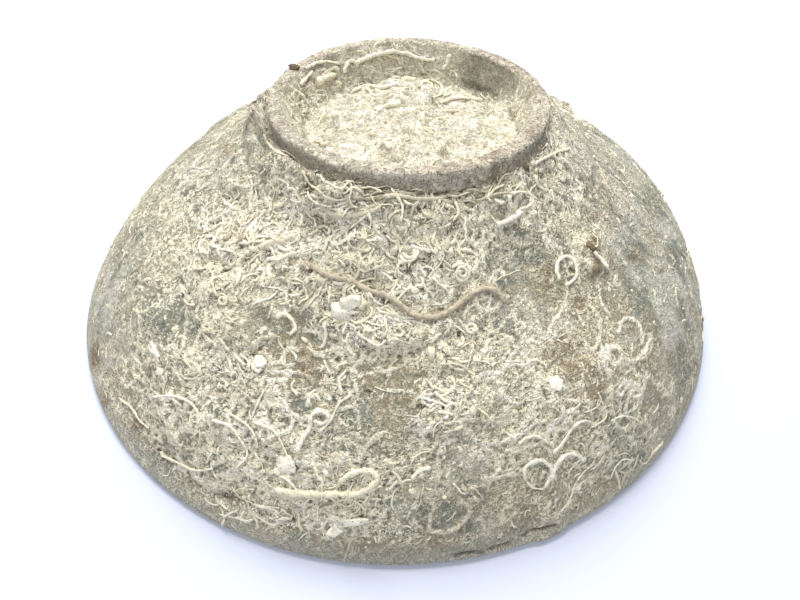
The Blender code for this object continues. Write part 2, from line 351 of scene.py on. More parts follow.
# Single tubes: radius and lift in millimetres, tint from 0 for brown to 1 for white, and pixels
Line = namedtuple("Line", "radius tint lift points")
LINES = named(Line,
    long_tube=(0.62, 0.34, 0.3, ((305, 262), (330, 276), (352, 281), (368, 290), (390, 297),
        (410, 312), (422, 317), (440, 316), (455, 307), (475, 292), (487, 288), (497, 292), (505, 302))),
    left_tube=(0.80, 0.62, 0.1, ((296, 236), (277, 241), (257, 248), (243, 257), (238, 267),
        (240, 278))),
    tube_inside_it=(0.55, 0.75, 0.1, ((272, 279), (268, 268), (279, 259), (292, 254), (300, 252))),
    tube_under_the_foot=(0.50, 0.42, 0.5, ((346, 196), (366, 200), (390, 197), (415, 199), (440, 199),
        (456, 193), (466, 203))),
    tongue_under_the_foot=(0.65, 0.45, 0.1, ((318, 202), (334, 215), (361, 215), (385, 206),
        (404, 204))),
    pale_tube_by_the_ring=(0.30, 0.75, 0.2, ((264, 134), (270, 146), (279, 153), (292, 158))),
    left_tangle=(0.30, 0.60, 0.6, ((302, 172), (316, 187), (332, 199), (352, 198))),
    second_left_tangle=(0.26, 0.70, 1.2, ((318, 174), (325, 186), (338, 190), (356, 185), (372, 191),
        (384, 197))),
    third_left_tangle=(0.24, 0.75, 0.9, ((328, 190), (340, 194), (352, 190), (364, 196))),
    fourth_left_tangle=(0.24, 0.70, 0.7, ((306, 180), (309, 194), (320, 204), (334, 207))),
    fifth_left_tangle=(0.22, 0.80, 1.0, ((345, 182), (352, 190), (350, 200), (358, 207))),
    tube_right_of_the_knob=(0.34, 0.75, 0.2, ((532, 165), (545, 158), (558, 152), (570, 149))),
    hanging_tube=(0.30, 0.75, 0.8, ((392, 192), (400, 203), (403, 213), (402, 222))),
    second_hanging_tube=(0.30, 0.70, 0.8, ((452, 200), (456, 212), (450, 222))),
    white_tube=(0.60, 1.00, 0.4, ((496, 225), (506, 222), (515, 217), (522, 212))),
    white_ring=(0.36, 0.90, 0.3, ((512, 208), (508, 201), (511, 195), (519, 192), (528, 194),
        (533, 201), (528, 207), (520, 209), (515, 214))),
    oval_ring=(0.36, 0.90, 0.2, ((560, 280), (556, 270), (559, 260), (567, 256), (574, 261),
        (577, 272), (572, 282), (565, 285))),
    white_streak=(0.40, 0.95, 0.3, ((594, 252), (600, 259), (608, 269))),
    curl=(0.45, 0.90, 0.3, ((297, 452), (303, 438), (310, 428), (311, 417), (318, 411), (327, 413),
        (329, 420), (322, 424), (314, 421))),
    small_curl=(0.40, 0.80, 0.3, ((277, 318), (283, 313), (291, 318), (296, 328), (290, 335))),
    left_heart_loop=(0.38, 1.00, 0.2, ((525, 480), (524, 470), (530, 463), (540, 460), (549, 465),
        (552, 472), (549, 480), (544, 488))),
    under_the_left_loop=(0.22, 0.85, 0.1, ((527, 482), (533, 488), (544, 489))),
    right_heart_loop=(0.42, 1.00, 0.2, ((552, 478), (555, 468), (561, 459), (568, 454), (578, 455),
        (584, 461))),
    zigzag=(0.30, 0.95, 0.2, ((553, 453), (563, 442), (569, 432), (575, 425), (584, 420), (591, 422))),
    first_right_thread=(0.20, 0.85, 0.1, ((590, 428), (601, 422), (607, 415), (602, 402), (598, 392))),
    second_right_thread=(0.20, 0.80, 0.1, ((611, 421), (622, 416), (634, 418), (643, 424))),
    third_right_thread=(0.20, 0.80, 0.1, ((560, 512), (570, 500), (574, 486), (582, 474), (590, 466))),
    low_arc=(0.30, 0.75, 0.3, ((518, 444), (526, 438), (536, 436), (549, 443))),
    flat_tube=(0.70, 0.70, 0.2, ((275, 490), (292, 493), (310, 494), (340, 494), (360, 493),
        (372, 486), (378, 478), (369, 471), (353, 473), (338, 483))),
    first_thin_arc=(0.30, 0.85, 0.3, ((153, 397), (173, 396), (190, 402), (198, 412), (199, 424))),
    second_thin_arc=(0.28, 0.85, 0.3, ((213, 420), (230, 426), (241, 440), (248, 455), (236, 468))),
    third_thin_arc=(0.28, 0.80, 0.3, ((255, 422), (275, 432), (285, 450), (288, 458))),
    fourth_thin_arc=(0.25, 0.80, 0.3, ((229, 413), (245, 423), (256, 436), (258, 448))),
    straight_thin_tube=(0.25, 0.85, 0.3, ((265, 390), (259, 402), (252, 418))),
    thin_tube_at_the_left=(0.25, 0.80, 0.3, ((120, 398), (133, 408), (140, 420), (150, 428))),
    thin_tube_low_left=(0.28, 0.80, 0.3, ((162, 455), (178, 462), (196, 470), (214, 468))),
    long_thin_tube=(0.25, 0.85, 0.3, ((320, 432), (332, 418), (340, 402), (352, 395))),
    bottom_straight_tube=(0.40, 0.85, 0.5, ((412, 478), (420, 470), (430, 468))),
    tube_in_the_well=(0.85, 0.75, 0.5, ((317, 83), (325, 78), (334, 75))),
    left_well_tube=(0.45, 0.80, 0.5, ((300, 86), (305, 79), (312, 72))),
    well_arc=(0.40, 0.90, 0.4, ((305, 69), (320, 62), (340, 64))),
    well_arch=(0.50, 0.90, 0.7, ((344, 73), (347, 64), (353, 60), (358, 66))),
    well_ridge=(0.60, 0.90, 0.6, ((355, 63), (378, 54), (400, 52), (418, 58), (436, 60))),
    white_bar=(0.65, 1.00, 0.4, ((376, 110), (388, 106), (400, 103))),
    second_white_bar=(0.45, 0.95, 0.4, ((352, 92), (366, 86), (382, 88), (398, 84))),
    well_loop=(0.35, 0.85, 0.4, ((418, 88), (428, 80), (440, 84), (442, 94), (432, 98))),
    right_well_tube=(0.45, 0.85, 0.5, ((440, 104), (456, 98), (470, 100))),
)

# Gaps in the crust, dented and painted dark as shade: radius and depth in millimetres, and pixels
Gap = namedtuple("Gap", "radius depth points")
FURROWS = named(Gap,
    below_the_foot=(0.42, 0.7, ((338, 199), (352, 205), (378, 205), (404, 206), (432, 206), (452, 202))),
    above_the_tongue=(0.35, 0.5, ((322, 196), (334, 206), (346, 210))),
    right_below_the_foot=(0.35, 0.5, ((458, 196), (474, 192), (492, 189))),
    above_the_long_tube=(0.35, 0.6, ((326, 265), (336, 269), (350, 272), (360, 281))),
    left_of_the_long_tube=(0.32, 0.5, ((306, 270), (315, 275), (326, 274))),
    below_the_long_tube=(0.30, 0.5, ((364, 292), (374, 297), (384, 301))),
    end_of_the_dip=(0.32, 0.5, ((406, 312), (414, 318), (424, 321))),
    inside_the_left_tube=(0.30, 0.5, ((245, 262), (244, 274), (243, 284))),
    below_the_left_tube=(0.30, 0.5, ((256, 250), (270, 247), (286, 243))),
    left_crust_right_side=(0.35, 0.6, ((304, 226), (302, 240), (306, 254))),
    right_of_the_mat=(0.30, 0.5, ((470, 206), (482, 212), (492, 220))),
    left_in_the_mat=(0.28, 0.5, ((216, 226), (230, 230), (246, 228))),
    beside_the_shell_lump=(0.28, 0.5, ((330, 300), (338, 296), (352, 294))),
    in_the_bottom_mat=(0.28, 0.5, ((318, 505), (330, 510), (342, 508))),
)

# Coiled tubes: pixel, inner and outer radius, turns, radius of the tube, tint
Coil = namedtuple("Coil", "x y inner outer turns radius tint")
COILS = named(Coil,
    coil_in_the_mat=(409, 254, 0.5, 2.4, 2.2, 0.34, 0.85),
    coil_right_of_it=(462, 273, 0.5, 2.1, 2.1, 0.30, 0.85),
    ring_below_it=(471, 328, 0.7, 1.1, 1.2, 0.28, 0.80),
    coil_in_the_lower_mat=(452, 408, 0.5, 1.6, 1.8, 0.30, 0.85),
    coil_at_the_left=(224, 300, 0.5, 1.5, 1.6, 0.28, 0.70),
)

# Low domes of lime in the well: pixel, radius of the ball in millimetres, tint
Dome = namedtuple("Dome", "x y radius tint")
WELL_MOUNDS = named(Dome,
    pale_mound=(402, 124, 4.6, 0.97),
    mound_left_of_it=(345, 118, 3.4, 0.85),
    mound_at_the_back=(378, 68, 3.6, 0.90),
    mound_at_the_left=(312, 105, 3.4, 0.80),
    mound_at_the_right=(455, 125, 3.6, 0.95),
)

# Lumps and shells: pixel, half sizes in millimetres, turn in the picture in degrees, tint
Chip = namedtuple("Chip", "x y long wide thick turn tint")
CHIPS = named(Chip,
    shell_lump=(343, 311, 2.6, 1.7, 1.2, 15, 1.0),
    upper_part_of_it=(351, 303, 1.9, 1.3, 1.3, -30, 1.0),
    small_shell_beside_it=(362, 304, 1.3, 1.0, 1.0, 0, 0.75),
    knob_by_the_white_ring=(534, 213, 0.6, 0.5, 0.5, 0, 0.95),
    dark_knob_by_the_ring=(526, 168, 0.6, 0.8, 0.6, 0, 0.0),
    star_patch=(555, 384, 1.5, 1.2, 0.45, 40, 1.0),
    left_chip=(156, 352, 2.0, 0.9, 0.5, 50, 1.0),
    crumb_below_it=(161, 372, 1.0, 0.7, 0.4, 0, 1.0),
    white_flake=(349, 522, 4.6, 1.0, 0.5, -33, 1.0),
    crumb_by_the_flake=(336, 531, 1.5, 1.0, 0.5, 0, 1.0),
    disc=(259, 364, 1.4, 1.4, 0.35, 0, 0.90),
    low_disc=(286, 466, 1.9, 1.9, 0.35, 40, 0.92),
    brown_knob=(590, 246, 1.0, 0.8, 0.3, 0, 0.05),
    dark_knob_on_the_lip=(294, 68, 1.1, 0.9, 0.9, 0, 0.0),
)


def ease(t):
    """Goes smoothly from 0 to 1 as t does, for a number or an array."""
    t = np.clip(t, 0.0, 1.0)
    return t * t * (3.0 - 2.0 * t)


def lattice(x, y, z, seed):
    """A repeatable number from 0 to 1 for each whole-numbered place."""
    h = x * 73856093 ^ y * 19349663 ^ z * 83492791 ^ (seed * 2654435761 % 4294967296)
    h = (h & 0xFFFFFFFF) * 2246822519 & 0xFFFFFFFF
    h = (h ^ h >> 15) * 3266489917 & 0xFFFFFFFF
    return (h ^ h >> 16) / 4294967295.0


def grain(points, size, seed=0):
    """A smooth random field from -1 to 1 with features of about the given size, one per seed."""
    scaled = np.asarray(points) / size
    cell = np.floor(scaled).astype(np.int64)
    part = ease(scaled - cell)
    total = 0.0
    for corner in itertools.product((0, 1), repeat=3):
        weight = 1.0
        for axis in range(3):
            weight = weight * (part[..., axis] if corner[axis] else 1.0 - part[..., axis])
        total = total + weight * lattice(*(cell[..., a] + corner[a] for a in range(3)), seed)
    return 2.0 * total - 1.0


def ridges(points, size, seed=0):
    """Thin wandering ridges, 1 on their crests."""
    bend = np.stack([grain(points, size * 2.2, seed + k) for k in (11, 12, 13)], axis=-1)
    return 1.0 - np.abs(grain(np.asarray(points) + bend * size * 0.7, size, seed))


def bezier(points, t):
    """Places on a cubic curve in the section's plane, and the directions there."""
    a, b, c, d = (np.array(p) for p in points)
    t = np.asarray(t, float)[..., None]
    s = 1.0 - t
    place = a * s**3 + 3 * b * s * s * t + 3 * c * s * t * t + d * t**3
    along = (b - a) * s * s + 2 * (c - b) * s * t + (d - c) * t * t
    return place, along / np.linalg.norm(along, axis=-1, keepdims=True)


def wall_curve():
    """The outside of the wall in the plane of the section, from rim to foot."""
    slope = np.array([-math.cos(RIM_SLOPE), math.sin(RIM_SLOPE)])
    start = np.array([RIM_RADIUS - RIM_ROUNDING, RIM_ROUNDING])
    start = start + RIM_ROUNDING * np.array([math.sin(RIM_SLOPE), math.cos(RIM_SLOPE)])
    end = np.array([FOOT_RADIUS - FOOT_WAIST, JUNCTION_HEIGHT])
    span = np.linalg.norm(end - start)
    before = end + FOOT_PULL * span * np.array([math.cos(FOOT_SLOPE), -math.sin(FOOT_SLOPE)])
    return start, start + RIM_PULL * span * slope, before, end


CURVE = wall_curve()


def warp(radius, height, azimuth):
    """Carries turned points, with the azimuth in degrees, to where the kiln left them."""
    radius, height, turn = np.broadcast_arrays(radius, height, np.radians(azimuth))
    part = height / LIP_HEIGHT
    drift = (4 * BELLY_SHIFT - FOOT_SHIFT) * part + (2 * FOOT_SHIFT - 4 * BELLY_SHIFT) * part * part
    y = radius * np.sin(turn)
    lean = math.tan(FOOT_TILT) * ease((height - JUNCTION_HEIGHT + TILT_REACH) / TILT_REACH)
    return np.stack([drift + radius * np.cos(turn), y, height - lean * y], axis=-1)


def camera_axes():
    """The camera's right, up and forward directions."""
    forward = Vector((0, math.cos(CAMERA_PITCH), -math.sin(CAMERA_PITCH)))
    level_up = Vector((0, math.sin(CAMERA_PITCH), math.cos(CAMERA_PITCH)))
    level_right = Vector((1, 0, 0))
    right = math.cos(CAMERA_ROLL) * level_right + math.sin(CAMERA_ROLL) * level_up
    up = math.cos(CAMERA_ROLL) * level_up - math.sin(CAMERA_ROLL) * level_right
    return right, up, forward


RIGHT, UP, FORWARD = camera_axes()


def turned_from(azimuth, middle):
    """Degrees round from a middle azimuth, from -180 to 180."""
    return (azimuth - middle + 180) % 360 - 180


def to_pixels(points):
    """Where points show in the picture."""
    away = np.asarray(points) - np.array(CAMERA_PLACE)
    depth = away @ np.array(FORWARD)
    x = PICTURE_WIDTH / 2 + FOCAL_PIXELS * (away @ np.array(RIGHT)) / depth
    y = PICTURE_HEIGHT / 2 - FOCAL_PIXELS * (away @ np.array(UP)) / depth
    return x, y


def view_ray(x, y):
    """The direction from the camera through a pixel."""
    across = (x - PICTURE_WIDTH / 2) / FOCAL_PIXELS
    down = (y - PICTURE_HEIGHT / 2) / FOCAL_PIXELS
    return (FORWARD + across * RIGHT - down * UP).normalized()


def spread(spots, x, y, edge=0.5):
    """How strongly the spots cover each pixel."""
    total = np.zeros(np.shape(x))
    for spot in spots:
        turn = math.radians(spot.turn)
        dx = (x - spot.x) * math.cos(turn) + (y - spot.y) * math.sin(turn)
        dy = (y - spot.y) * math.cos(turn) - (x - spot.x) * math.sin(turn)
        near = np.hypot(dx / spot.rx, dy / spot.ry)
        total = np.maximum(total, spot.strength * ease((1.0 + edge - near) / (2 * edge)))
    return total


def cracks(away, share, waver):
    """Where the thin cracks over the flake run, from 0 to 1."""
    total = np.zeros(len(away))
    for crack in CRACKS:
        along = (away - crack.middle) / crack.half
        height = crack.top * np.sqrt(np.maximum(1.0 - along**2, 0.0)) + waver
        near = ease(1.6 - np.abs(share - height) / CRACK_WIDTH)
        total = np.maximum(total, near * ease((1.0 - np.abs(along)) / 0.15))
    return total


def seen(points, facing, start=0.02, reach=0.12):
    """1 where the camera sees a point of the wall, fading to 0 where it turns away."""
    to_camera = np.array(CAMERA_PLACE) - points
    to_camera /= np.linalg.norm(to_camera, axis=-1, keepdims=True)
    return ease((np.sum(to_camera * facing, axis=-1) - start) / reach)


def shown_front(azimuth):
    """1 at the front of the foot ring, fading to 0 at its sides."""
    return ease((30 - np.abs(turned_from(azimuth, 270))) / 16)


def near_side(points, facing):
    """1 on the side that the camera sees and a little past its outline, 0 on the far side."""
    return seen(points, facing, -0.35, 0.25)


def solid_crust(azimuth, share, turned):
    """Thickness of the low crust that the solid has too."""
    crust = np.zeros(np.shape(azimuth))
    for patch in WALL_CRUST:
        away = turned_from(azimuth, patch.azimuth)
        near = np.hypot(away / patch.around, (share - patch.share) / patch.up)
        crust = np.maximum(crust, patch.thick * ease((1.0 - near) / EDGE_SHARE))
    wave = np.array([noise.noise(Vector(p)) for p in turned / LUMP_SIZE])
    return crust * (1.0 - LUMP_SHARE * (0.5 + wave))


def floor_crust(x, y):
    """Thickness of the crust on the floor of the well."""
    crust = np.zeros(np.shape(x))
    for mound in WELL_CRUST:
        near = np.hypot(x - mound.x, y - mound.y) / mound.reach
        crust = np.maximum(crust, mound.thick * ease((1.0 - near) / EDGE_SHARE))
    return crust


def bulge(azimuth, share):
    """How far the rim stands out below the cracks."""
    away = turned_from(azimuth, BULGE_AZIMUTH)
    return BULGE_THICK * ease(1.4 - np.abs(away) / BULGE_AROUND) * ease(1.0 - share / BULGE_TOP)


def film(smooth, azimuth, share, shown):
    """How thick the pale film is, in soft smears that run up the wall."""
    turn = np.radians(azimuth)
    drawn_out = np.stack([np.cos(turn), np.sin(turn), np.full(len(turn), share * FILM_STRETCH)], -1)
    amount = shown * spread(PALE, *to_pixels(smooth)) + (1.0 - shown) * ease(grain(smooth, 30 * MM, 26))
    wave = 0.55 * grain(drawn_out * FILM_ROUND, 2.4 * MM, 61) + 0.5 * grain(smooth, 6 * MM, 62)
    wave += 0.35 * grain(drawn_out * FILM_ROUND, 1.1 * MM, 63)
    return ease(0.75 * amount - 0.12 + wave)


def growth(points, facing):
    """How thick the worms grow on the wall, from 0 to 1: spots in front, patches of noise behind."""
    x, y = to_pixels(points)
    front = spread(MATS, x, y) * (1.0 - 0.9 * spread(BARE, x, y, 0.35)) * (1.0 - spread(GAPS, x, y, 0.3))
    patchy = ease(0.35 + 1.1 * grain(points, 16 * MM, 5) + 0.5 * grain(points, 6 * MM, 6))
    front = np.clip(front * (1.0 + 0.5 * grain(points, 4 * MM, 8)) + 0.07 * patchy, 0, 1)
    return seen(points, facing) * front + (1.0 - near_side(points, facing)) * 0.65 * patchy


PAINTS = ("crust", "bare", "stain", "clay", "rim", "well", "pale", "grey", "dirt", "gap")
# The gap and hollow values are painted shade: in the groove at the foot ring and the cracks, and between
# tubes and in holes
PAINTS += ("lime", "tint", "hollow")
Ring = namedtuple("Ring", "radius height out up zone share sides")
Row = namedtuple("Row", "ring azimuth smooth facing paint sheet")


def arc_rings(radius, height, edge, first, last, steps, zone, sides):
    """Rings round an edge, from one direction to another in degrees."""
    rings = []
    for step in range(steps + 1):
        angle = math.radians(first + (last - first) * step / steps)
        out = math.cos(angle)
        up = math.sin(angle)
        rings.append(Ring(radius + edge * out, height + edge * up, out, up, zone, 0.0, sides))
    return rings


def straight_rings(start, end, steps, zone, sides):
    """Rings along a straight stretch of the section, both ends left out."""
    along = np.subtract(end, start)
    along = along / np.linalg.norm(along)
    rings = []
    for step in range(1, steps):
        place = np.add(start, np.subtract(end, start) * step / steps)
        rings.append(Ring(place[0], place[1], along[1], -along[0], zone, 0.0, sides))
    return rings


def well_rings():
    """The floor of the well and the inner side of the foot ring."""
    rings = []
    for step in range(1, FLOOR_RINGS + 1):
        share = step / FLOOR_RINGS
        rings.append(Ring(FLOOR_RADIUS * share, FLOOR_HEIGHT, 0.0, 1.0, FLOOR, share, SIDES))
    for step in range(1, FILLET_RINGS + 1):
        angle = math.radians(90 * step / FILLET_RINGS)
        radius = FLOOR_RADIUS + WELL_FILLET * math.sin(angle)
        height = FLOOR_HEIGHT + WELL_FILLET * (1 - math.cos(angle))
        rings.append(Ring(radius, height, -math.sin(angle), math.cos(angle), FLOOR, 1.0, SIDES))
    start = (rings[-1].radius, rings[-1].height)
    end = (INNER_LIP_RADIUS, LIP_HEIGHT - FOOT_ROUNDING)
    inner = straight_rings(start, end, INNER_RINGS, RING, SIDES)
    rings += [r._replace(out=-abs(r.out), up=abs(r.up)) for r in inner]
    return rings


def foot_rings():
    """Over the lip and down the outer side of the foot ring."""
    height = LIP_HEIGHT - FOOT_ROUNDING
    rings = arc_rings(INNER_LIP_RADIUS + FOOT_ROUNDING, height, FOOT_ROUNDING, 180, 90, 4, RING, SIDES)
    lip = (rings[-1].radius, LIP_HEIGHT)
    outer = (FOOT_RADIUS - FOOT_ROUNDING, LIP_HEIGHT)
    rings += [r._replace(out=0.0, up=1.0) for r in straight_rings(lip, outer, 3, RING, SIDES)]
    rings += arc_rings(FOOT_RADIUS - FOOT_ROUNDING, height, FOOT_ROUNDING, 90, 0, 4, RING, SIDES)
    end = (FOOT_RADIUS - FOOT_WAIST, JUNCTION_HEIGHT)
    outside = straight_rings((FOOT_RADIUS, height), end, 6, RING, SIDES)
    rings += [r._replace(out=1.0, up=0.0) for r in outside]
    return rings


def outside_rings():
    """Down the outside of the wall and round the outer edge of the rim."""
    rings = []
    steps = list(range(WALL_RINGS - 3)) + [WALL_RINGS - 3 + third / 3 for third in range(10)]
    for step in steps:
        share = 1.0 - step / WALL_RINGS
        place, along = bezier(CURVE, share)
        rings.append(Ring(place[0], place[1], along[1], -along[0], WALL, share, SIDES))
    facing = 90 - math.degrees(RIM_SLOPE)
    edge = RIM_ROUNDING
    rings += arc_rings(RIM_RADIUS - edge, edge, edge, facing, -90, 5, RIM, SIDES)[1:]
    return rings


def inner_wall(share):
    """Places on the inside of the wall, and the directions there."""
    place, along = bezier(CURVE, share)
    wall = RIM_WALL + (MIDDLE_WALL - RIM_WALL) * share / OFFSET_SHARE
    return place - wall * np.array([along[1], -along[0]]), along


def inside_rings():
    """From the rim's flat up the inside, to the middle."""
    edge = RIM_ROUNDING
    facing = 90 - math.degrees(RIM_SLOPE)
    middle = RIM_RADIUS - edge - RIM_REST_WIDTH
    rings = arc_rings(middle, edge, edge, -90, facing - 180, 4, RIM, SIDES // 2)
    for step in range(1, INSIDE_RINGS + 1):
        place, along = inner_wall(OFFSET_SHARE * step / INSIDE_RINGS)
        rings.append(Ring(place[0], place[1], -along[1], along[0], INSIDE, 0.0, SIDES // 4))
    start, along = inner_wall(OFFSET_SHARE)
    middle = np.array([0.0, FLOOR_HEIGHT - BASE_WALL])
    pull = BOTTOM_PULL * start[0]
    curve = (start, start + pull * along, middle + np.array([pull, 0.0]), middle)
    for step in range(1, BOTTOM_RINGS):
        place, along = bezier(curve, step / BOTTOM_RINGS)
        rings.append(Ring(place[0], place[1], -along[1], along[0], INSIDE, 0.0, SIDES // 4))
    return rings


def inset(azimuth, ring):
    """How far inside the border of the fine sheet a place is."""
    around = SHEET_HALF - np.abs(turned_from(azimuth, SHEET_MIDDLE))
    up = min(ring.share - SHEET_LOW, SHEET_HIGH - ring.share)
    return np.minimum(np.radians(around) * ring.radius, up * WALL_LENGTH)


def crust_relief(ring, azimuth, smooth, cover, sheet):
    """How far crust and threads stand up, on the shell or the sheet, which hides the shell below."""
    near_rim = ease(ring.share / RIM_CALM)
    fine = ease(inset(azimuth, ring) / SHEET_BLEND)
    rough = ridges(smooth, 1.5 * MM, 3) ** 3
    raised = near_rim * (0.14 * MM + 0.35 * MM * cover) * rough
    raised += near_rim * 0.30 * MM * cover * (0.6 + grain(smooth, 2.6 * MM, 21))
    raised += near_rim * 0.10 * MM * grain(smooth, 0.8 * MM, 22)
    if sheet:
        raised += 0.05 * MM * grain(smooth, 0.4 * MM, 30)
        return 0.05 * MM + np.maximum(raised, 0.0) * fine - SHEET_SINK * (1.0 - fine)
    fine = 1.0 - fine
    return raised * fine - 0.15 * MM * (1.0 - fine)


def foot_gap(azimuth, smooth):
    """How far a place is at the front of the foot ring, and how broken the dark gap of painted shade is
    there.
    """
    return shown_front(azimuth), ease(0.3 + 1.2 * grain(smooth, 7 * MM, 28))


def wall_skin(row):
    """The wall: crust, flake and cracks, and the lime heaped up against the foot ring."""
    ring, azimuth, smooth, facing, paint, sheet = row
    x, y = to_pixels(smooth)
    share = ring.share
    shown = seen(smooth, facing)
    cover = growth(smooth, facing)
    turn = np.radians(azimuth)
    turned = np.stack([ring.radius * np.cos(turn), ring.radius * np.sin(turn)], -1)
    turned = np.concatenate([turned, np.full((len(azimuth), 1), ring.height)], -1)
    raised = crust_relief(ring, azimuth, smooth, cover, sheet)
    raised += solid_crust(azimuth, share, turned) * SOLID_SHARE
    raised += 0.22 * MM * grain(smooth, 22 * MM, 23) * ease(share / RIM_CALM)
    away = turned_from(azimuth, FLAKE_AZIMUTH) + 2.0 * grain(smooth, 3 * MM, 24)
    near = np.hypot(away / FLAKE_AROUND, share / FLAKE_UP)
    raised -= FLAKE_DEPTH * ease((1.0 - near) / 0.6)
    crack = cracks(away, share, 0.003 * grain(smooth, 2.5 * MM, 29))
    raised += bulge(azimuth, share) - CRACK_DEPTH * crack
    front, broken = foot_gap(azimuth, smooth)
    groove = front * ease((share - GROOVE_START) / 0.015) * broken
    heaped = ease((share - HEAP_START) / 0.12) ** 1.4 * ease(0.75 + grain(smooth, 3.5 * MM, 45))
    left = ease((HEAP_LEFT_HALF - np.abs(azimuth - HEAP_LEFT_AZIMUTH)) / 20)
    heap = (1.0 - 0.7 * front) * (HEAP_THICK + HEAP_LEFT_THICK * left) * MM * heaped
    raised += heap - GROOVE_DEPTH * groove
    paint["crust"] = cover
    for name, spots in (("bare", BARE), ("stain", STAINS), ("grey", GREY)):
        paint[name] = shown * spread(spots, x, y)
    paint["pale"] = film(smooth, azimuth, share, shown)
    paint["rim"] = 1.0 - ease((share - 0.008 * grain(smooth, 9 * MM, 25)) / RIM_BAND)
    paint["dirt"] = shown * spread(DIRT, x, y) + (1.0 - shown) * ease(0.5 + grain(smooth, 18 * MM, 27))
    paint["clay"] += ease((share - CLAY_START) / CLAY_BAND)
    # Painted shade in the groove at the front of the foot ring and in the cracks
    paint["gap"] = np.maximum(0.6 * groove, crack)
    return raised


def floor_skin(row):
    """The floor of the well and its fillet: low mounds of lime."""
    smooth = row.smooth
    paint = row.paint
    x = smooth[:, 0] / FLOOR_RADIUS - FOOT_SHIFT / FLOOR_RADIUS
    y = smooth[:, 1] / FLOOR_RADIUS
    wave = 1.0 - LUMP_SHARE * (0.5 + grain(smooth, LUMP_SIZE, 31))
    raised = floor_crust(x, y) * wave * (1.0 if row.ring.up > 0.99 else 0.3)
    raised += 0.5 * MM * ridges(smooth, 1.9 * MM, 32) ** 3 + 0.12 * MM * grain(smooth, 0.7 * MM, 33)
    paint["crust"] += 0.7
    paint["well"] += 1.0
    paint["bare"] = spread(WELL_BARE, *to_pixels(smooth), WELL_EDGE)
    return raised


def foot_skin(row):
    """The foot ring: uneven, pitted clay, and lime at its outer foot."""
    ring = row.ring
    smooth = row.smooth
    paint = row.paint
    raised = 0.16 * MM * grain(smooth, 1.6 * MM, 41) + 0.22 * MM * grain(smooth, 5 * MM, 42) - 0.2 * MM
    raised -= 0.35 * MM * ease((grain(smooth, 1.1 * MM, 43) - 0.40) / 0.3)
    outer = ring.out > 0.9
    inner = ring.out < -0.3
    if outer:
        front, broken = foot_gap(row.azimuth, smooth)
        low = ease((JUNCTION_HEIGHT + 1.2 * MM - ring.height) / (1.0 * MM))
        # Painted shade low on the front of the ring's outer face, by the groove
        paint["gap"] = 0.6 * low * front * broken
        low = ease((JUNCTION_HEIGHT + 2.6 * MM - ring.height) / (2.6 * MM))
        raised += (1.3 - 0.3 * front) * MM * low * ease(0.75 + grain(smooth, 3.5 * MM, 45))
        paint["dirt"] = spread(RING_DIRT, *to_pixels(smooth))
        paint["grey"] = spread(RING_GREY, *to_pixels(smooth))
    paint["clay"] += ease((ring.up - 0.15) / 0.5) if inner else 1.0
    paint["well"] += 1.0 if inner else 0.0
    paint["bare"] = spread(WELL_BARE, *to_pixels(smooth), WELL_EDGE) * paint["well"]
    # Pale haze on the clay; thicker on the outer face, where part of it is painted light that brightens
    # that face towards the lit lip
    paint["pale"] = (0.45 if outer else 0.15) * ease(0.5 + grain(smooth, 6 * MM, 44))
    return raised


def rim_skin(row):
    """The worn edge of the rim."""
    row.paint["rim"] += 1.0
    return bulge(row.azimuth, 0.0) * (row.ring.out > 0)


def inside_skin(row):
    """The inside, plainer than what the picture shows."""
    row.paint["crust"] = 0.25 * ease(0.5 + grain(row.smooth, 12 * MM, 52))
    return 0.08 * MM * grain(row.smooth, 1.5 * MM, 51) - 0.06 * MM


SKINS = {FLOOR: floor_skin, RING: foot_skin, WALL: wall_skin, RIM: rim_skin, INSIDE: inside_skin}


def ring_points(ring, azimuth, sheet=False):
    """The places, facings and paint values of one ring of the shell or row of the sheet."""
    turn = np.radians(azimuth)
    upward = np.full(len(azimuth), ring.up)
    facing = np.stack([ring.out * np.cos(turn), ring.out * np.sin(turn), upward], -1)
    smooth = warp(ring.radius, np.full(len(azimuth), ring.height), azimuth)
    paint = {name: np.zeros(len(azimuth)) for name in PAINTS}
    raised = SKINS[ring.zone](Row(ring, azimuth, smooth, facing, paint, sheet))
    radius = ring.radius + raised * ring.out
    height = np.maximum(ring.height + raised * ring.up, 0.0)
    return warp(radius, height, azimuth), facing, paint


def band(first, second):
    """Faces between two rings of vertex numbers, which may differ by a factor of two."""
    fine, coarse = (second, first) if len(second) > len(first) else (first, second)
    faces = []
    for side in range(len(coarse)):
        after = (side + 1) % len(coarse)
        if len(fine) == len(coarse):
            new = [(fine[side], coarse[side], coarse[after], fine[after])]
        else:
            middle = fine[2 * side + 1]
            new = [(fine[2 * side], coarse[side], middle), (middle, coarse[side], coarse[after])]
            new.append((middle, coarse[after], fine[2 * after]))
        faces += [f if fine is first else f[::-1] for f in new]
    return faces


def fan(ring, middle, upward):
    """Faces from a ring to its middle."""
    faces = []
    for side, corner in enumerate(ring):
        after = ring[(side + 1) % len(ring)]
        faces.append((middle, corner, after) if upward else (middle, after, corner))
    return faces


def add_piece(name, points, faces, material, paint):
    """A smooth mesh object with its material and paint values, riding on the bowl."""
    mesh = bpy.data.meshes.new(name)
    mesh.from_pydata([tuple(p) for p in np.asarray(points).tolist()], [], faces)
    for key, values in paint.items():
        layer = mesh.attributes.new(key, "FLOAT", "POINT")
        layer.data.foreach_set("value", np.asarray(values, dtype=np.float32))
    mesh.materials.append(material)
    mesh.shade_smooth()
    thing = bpy.data.objects.new(name, mesh)
    bpy.context.scene.collection.objects.link(thing)
    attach(thing, "root")
    return thing


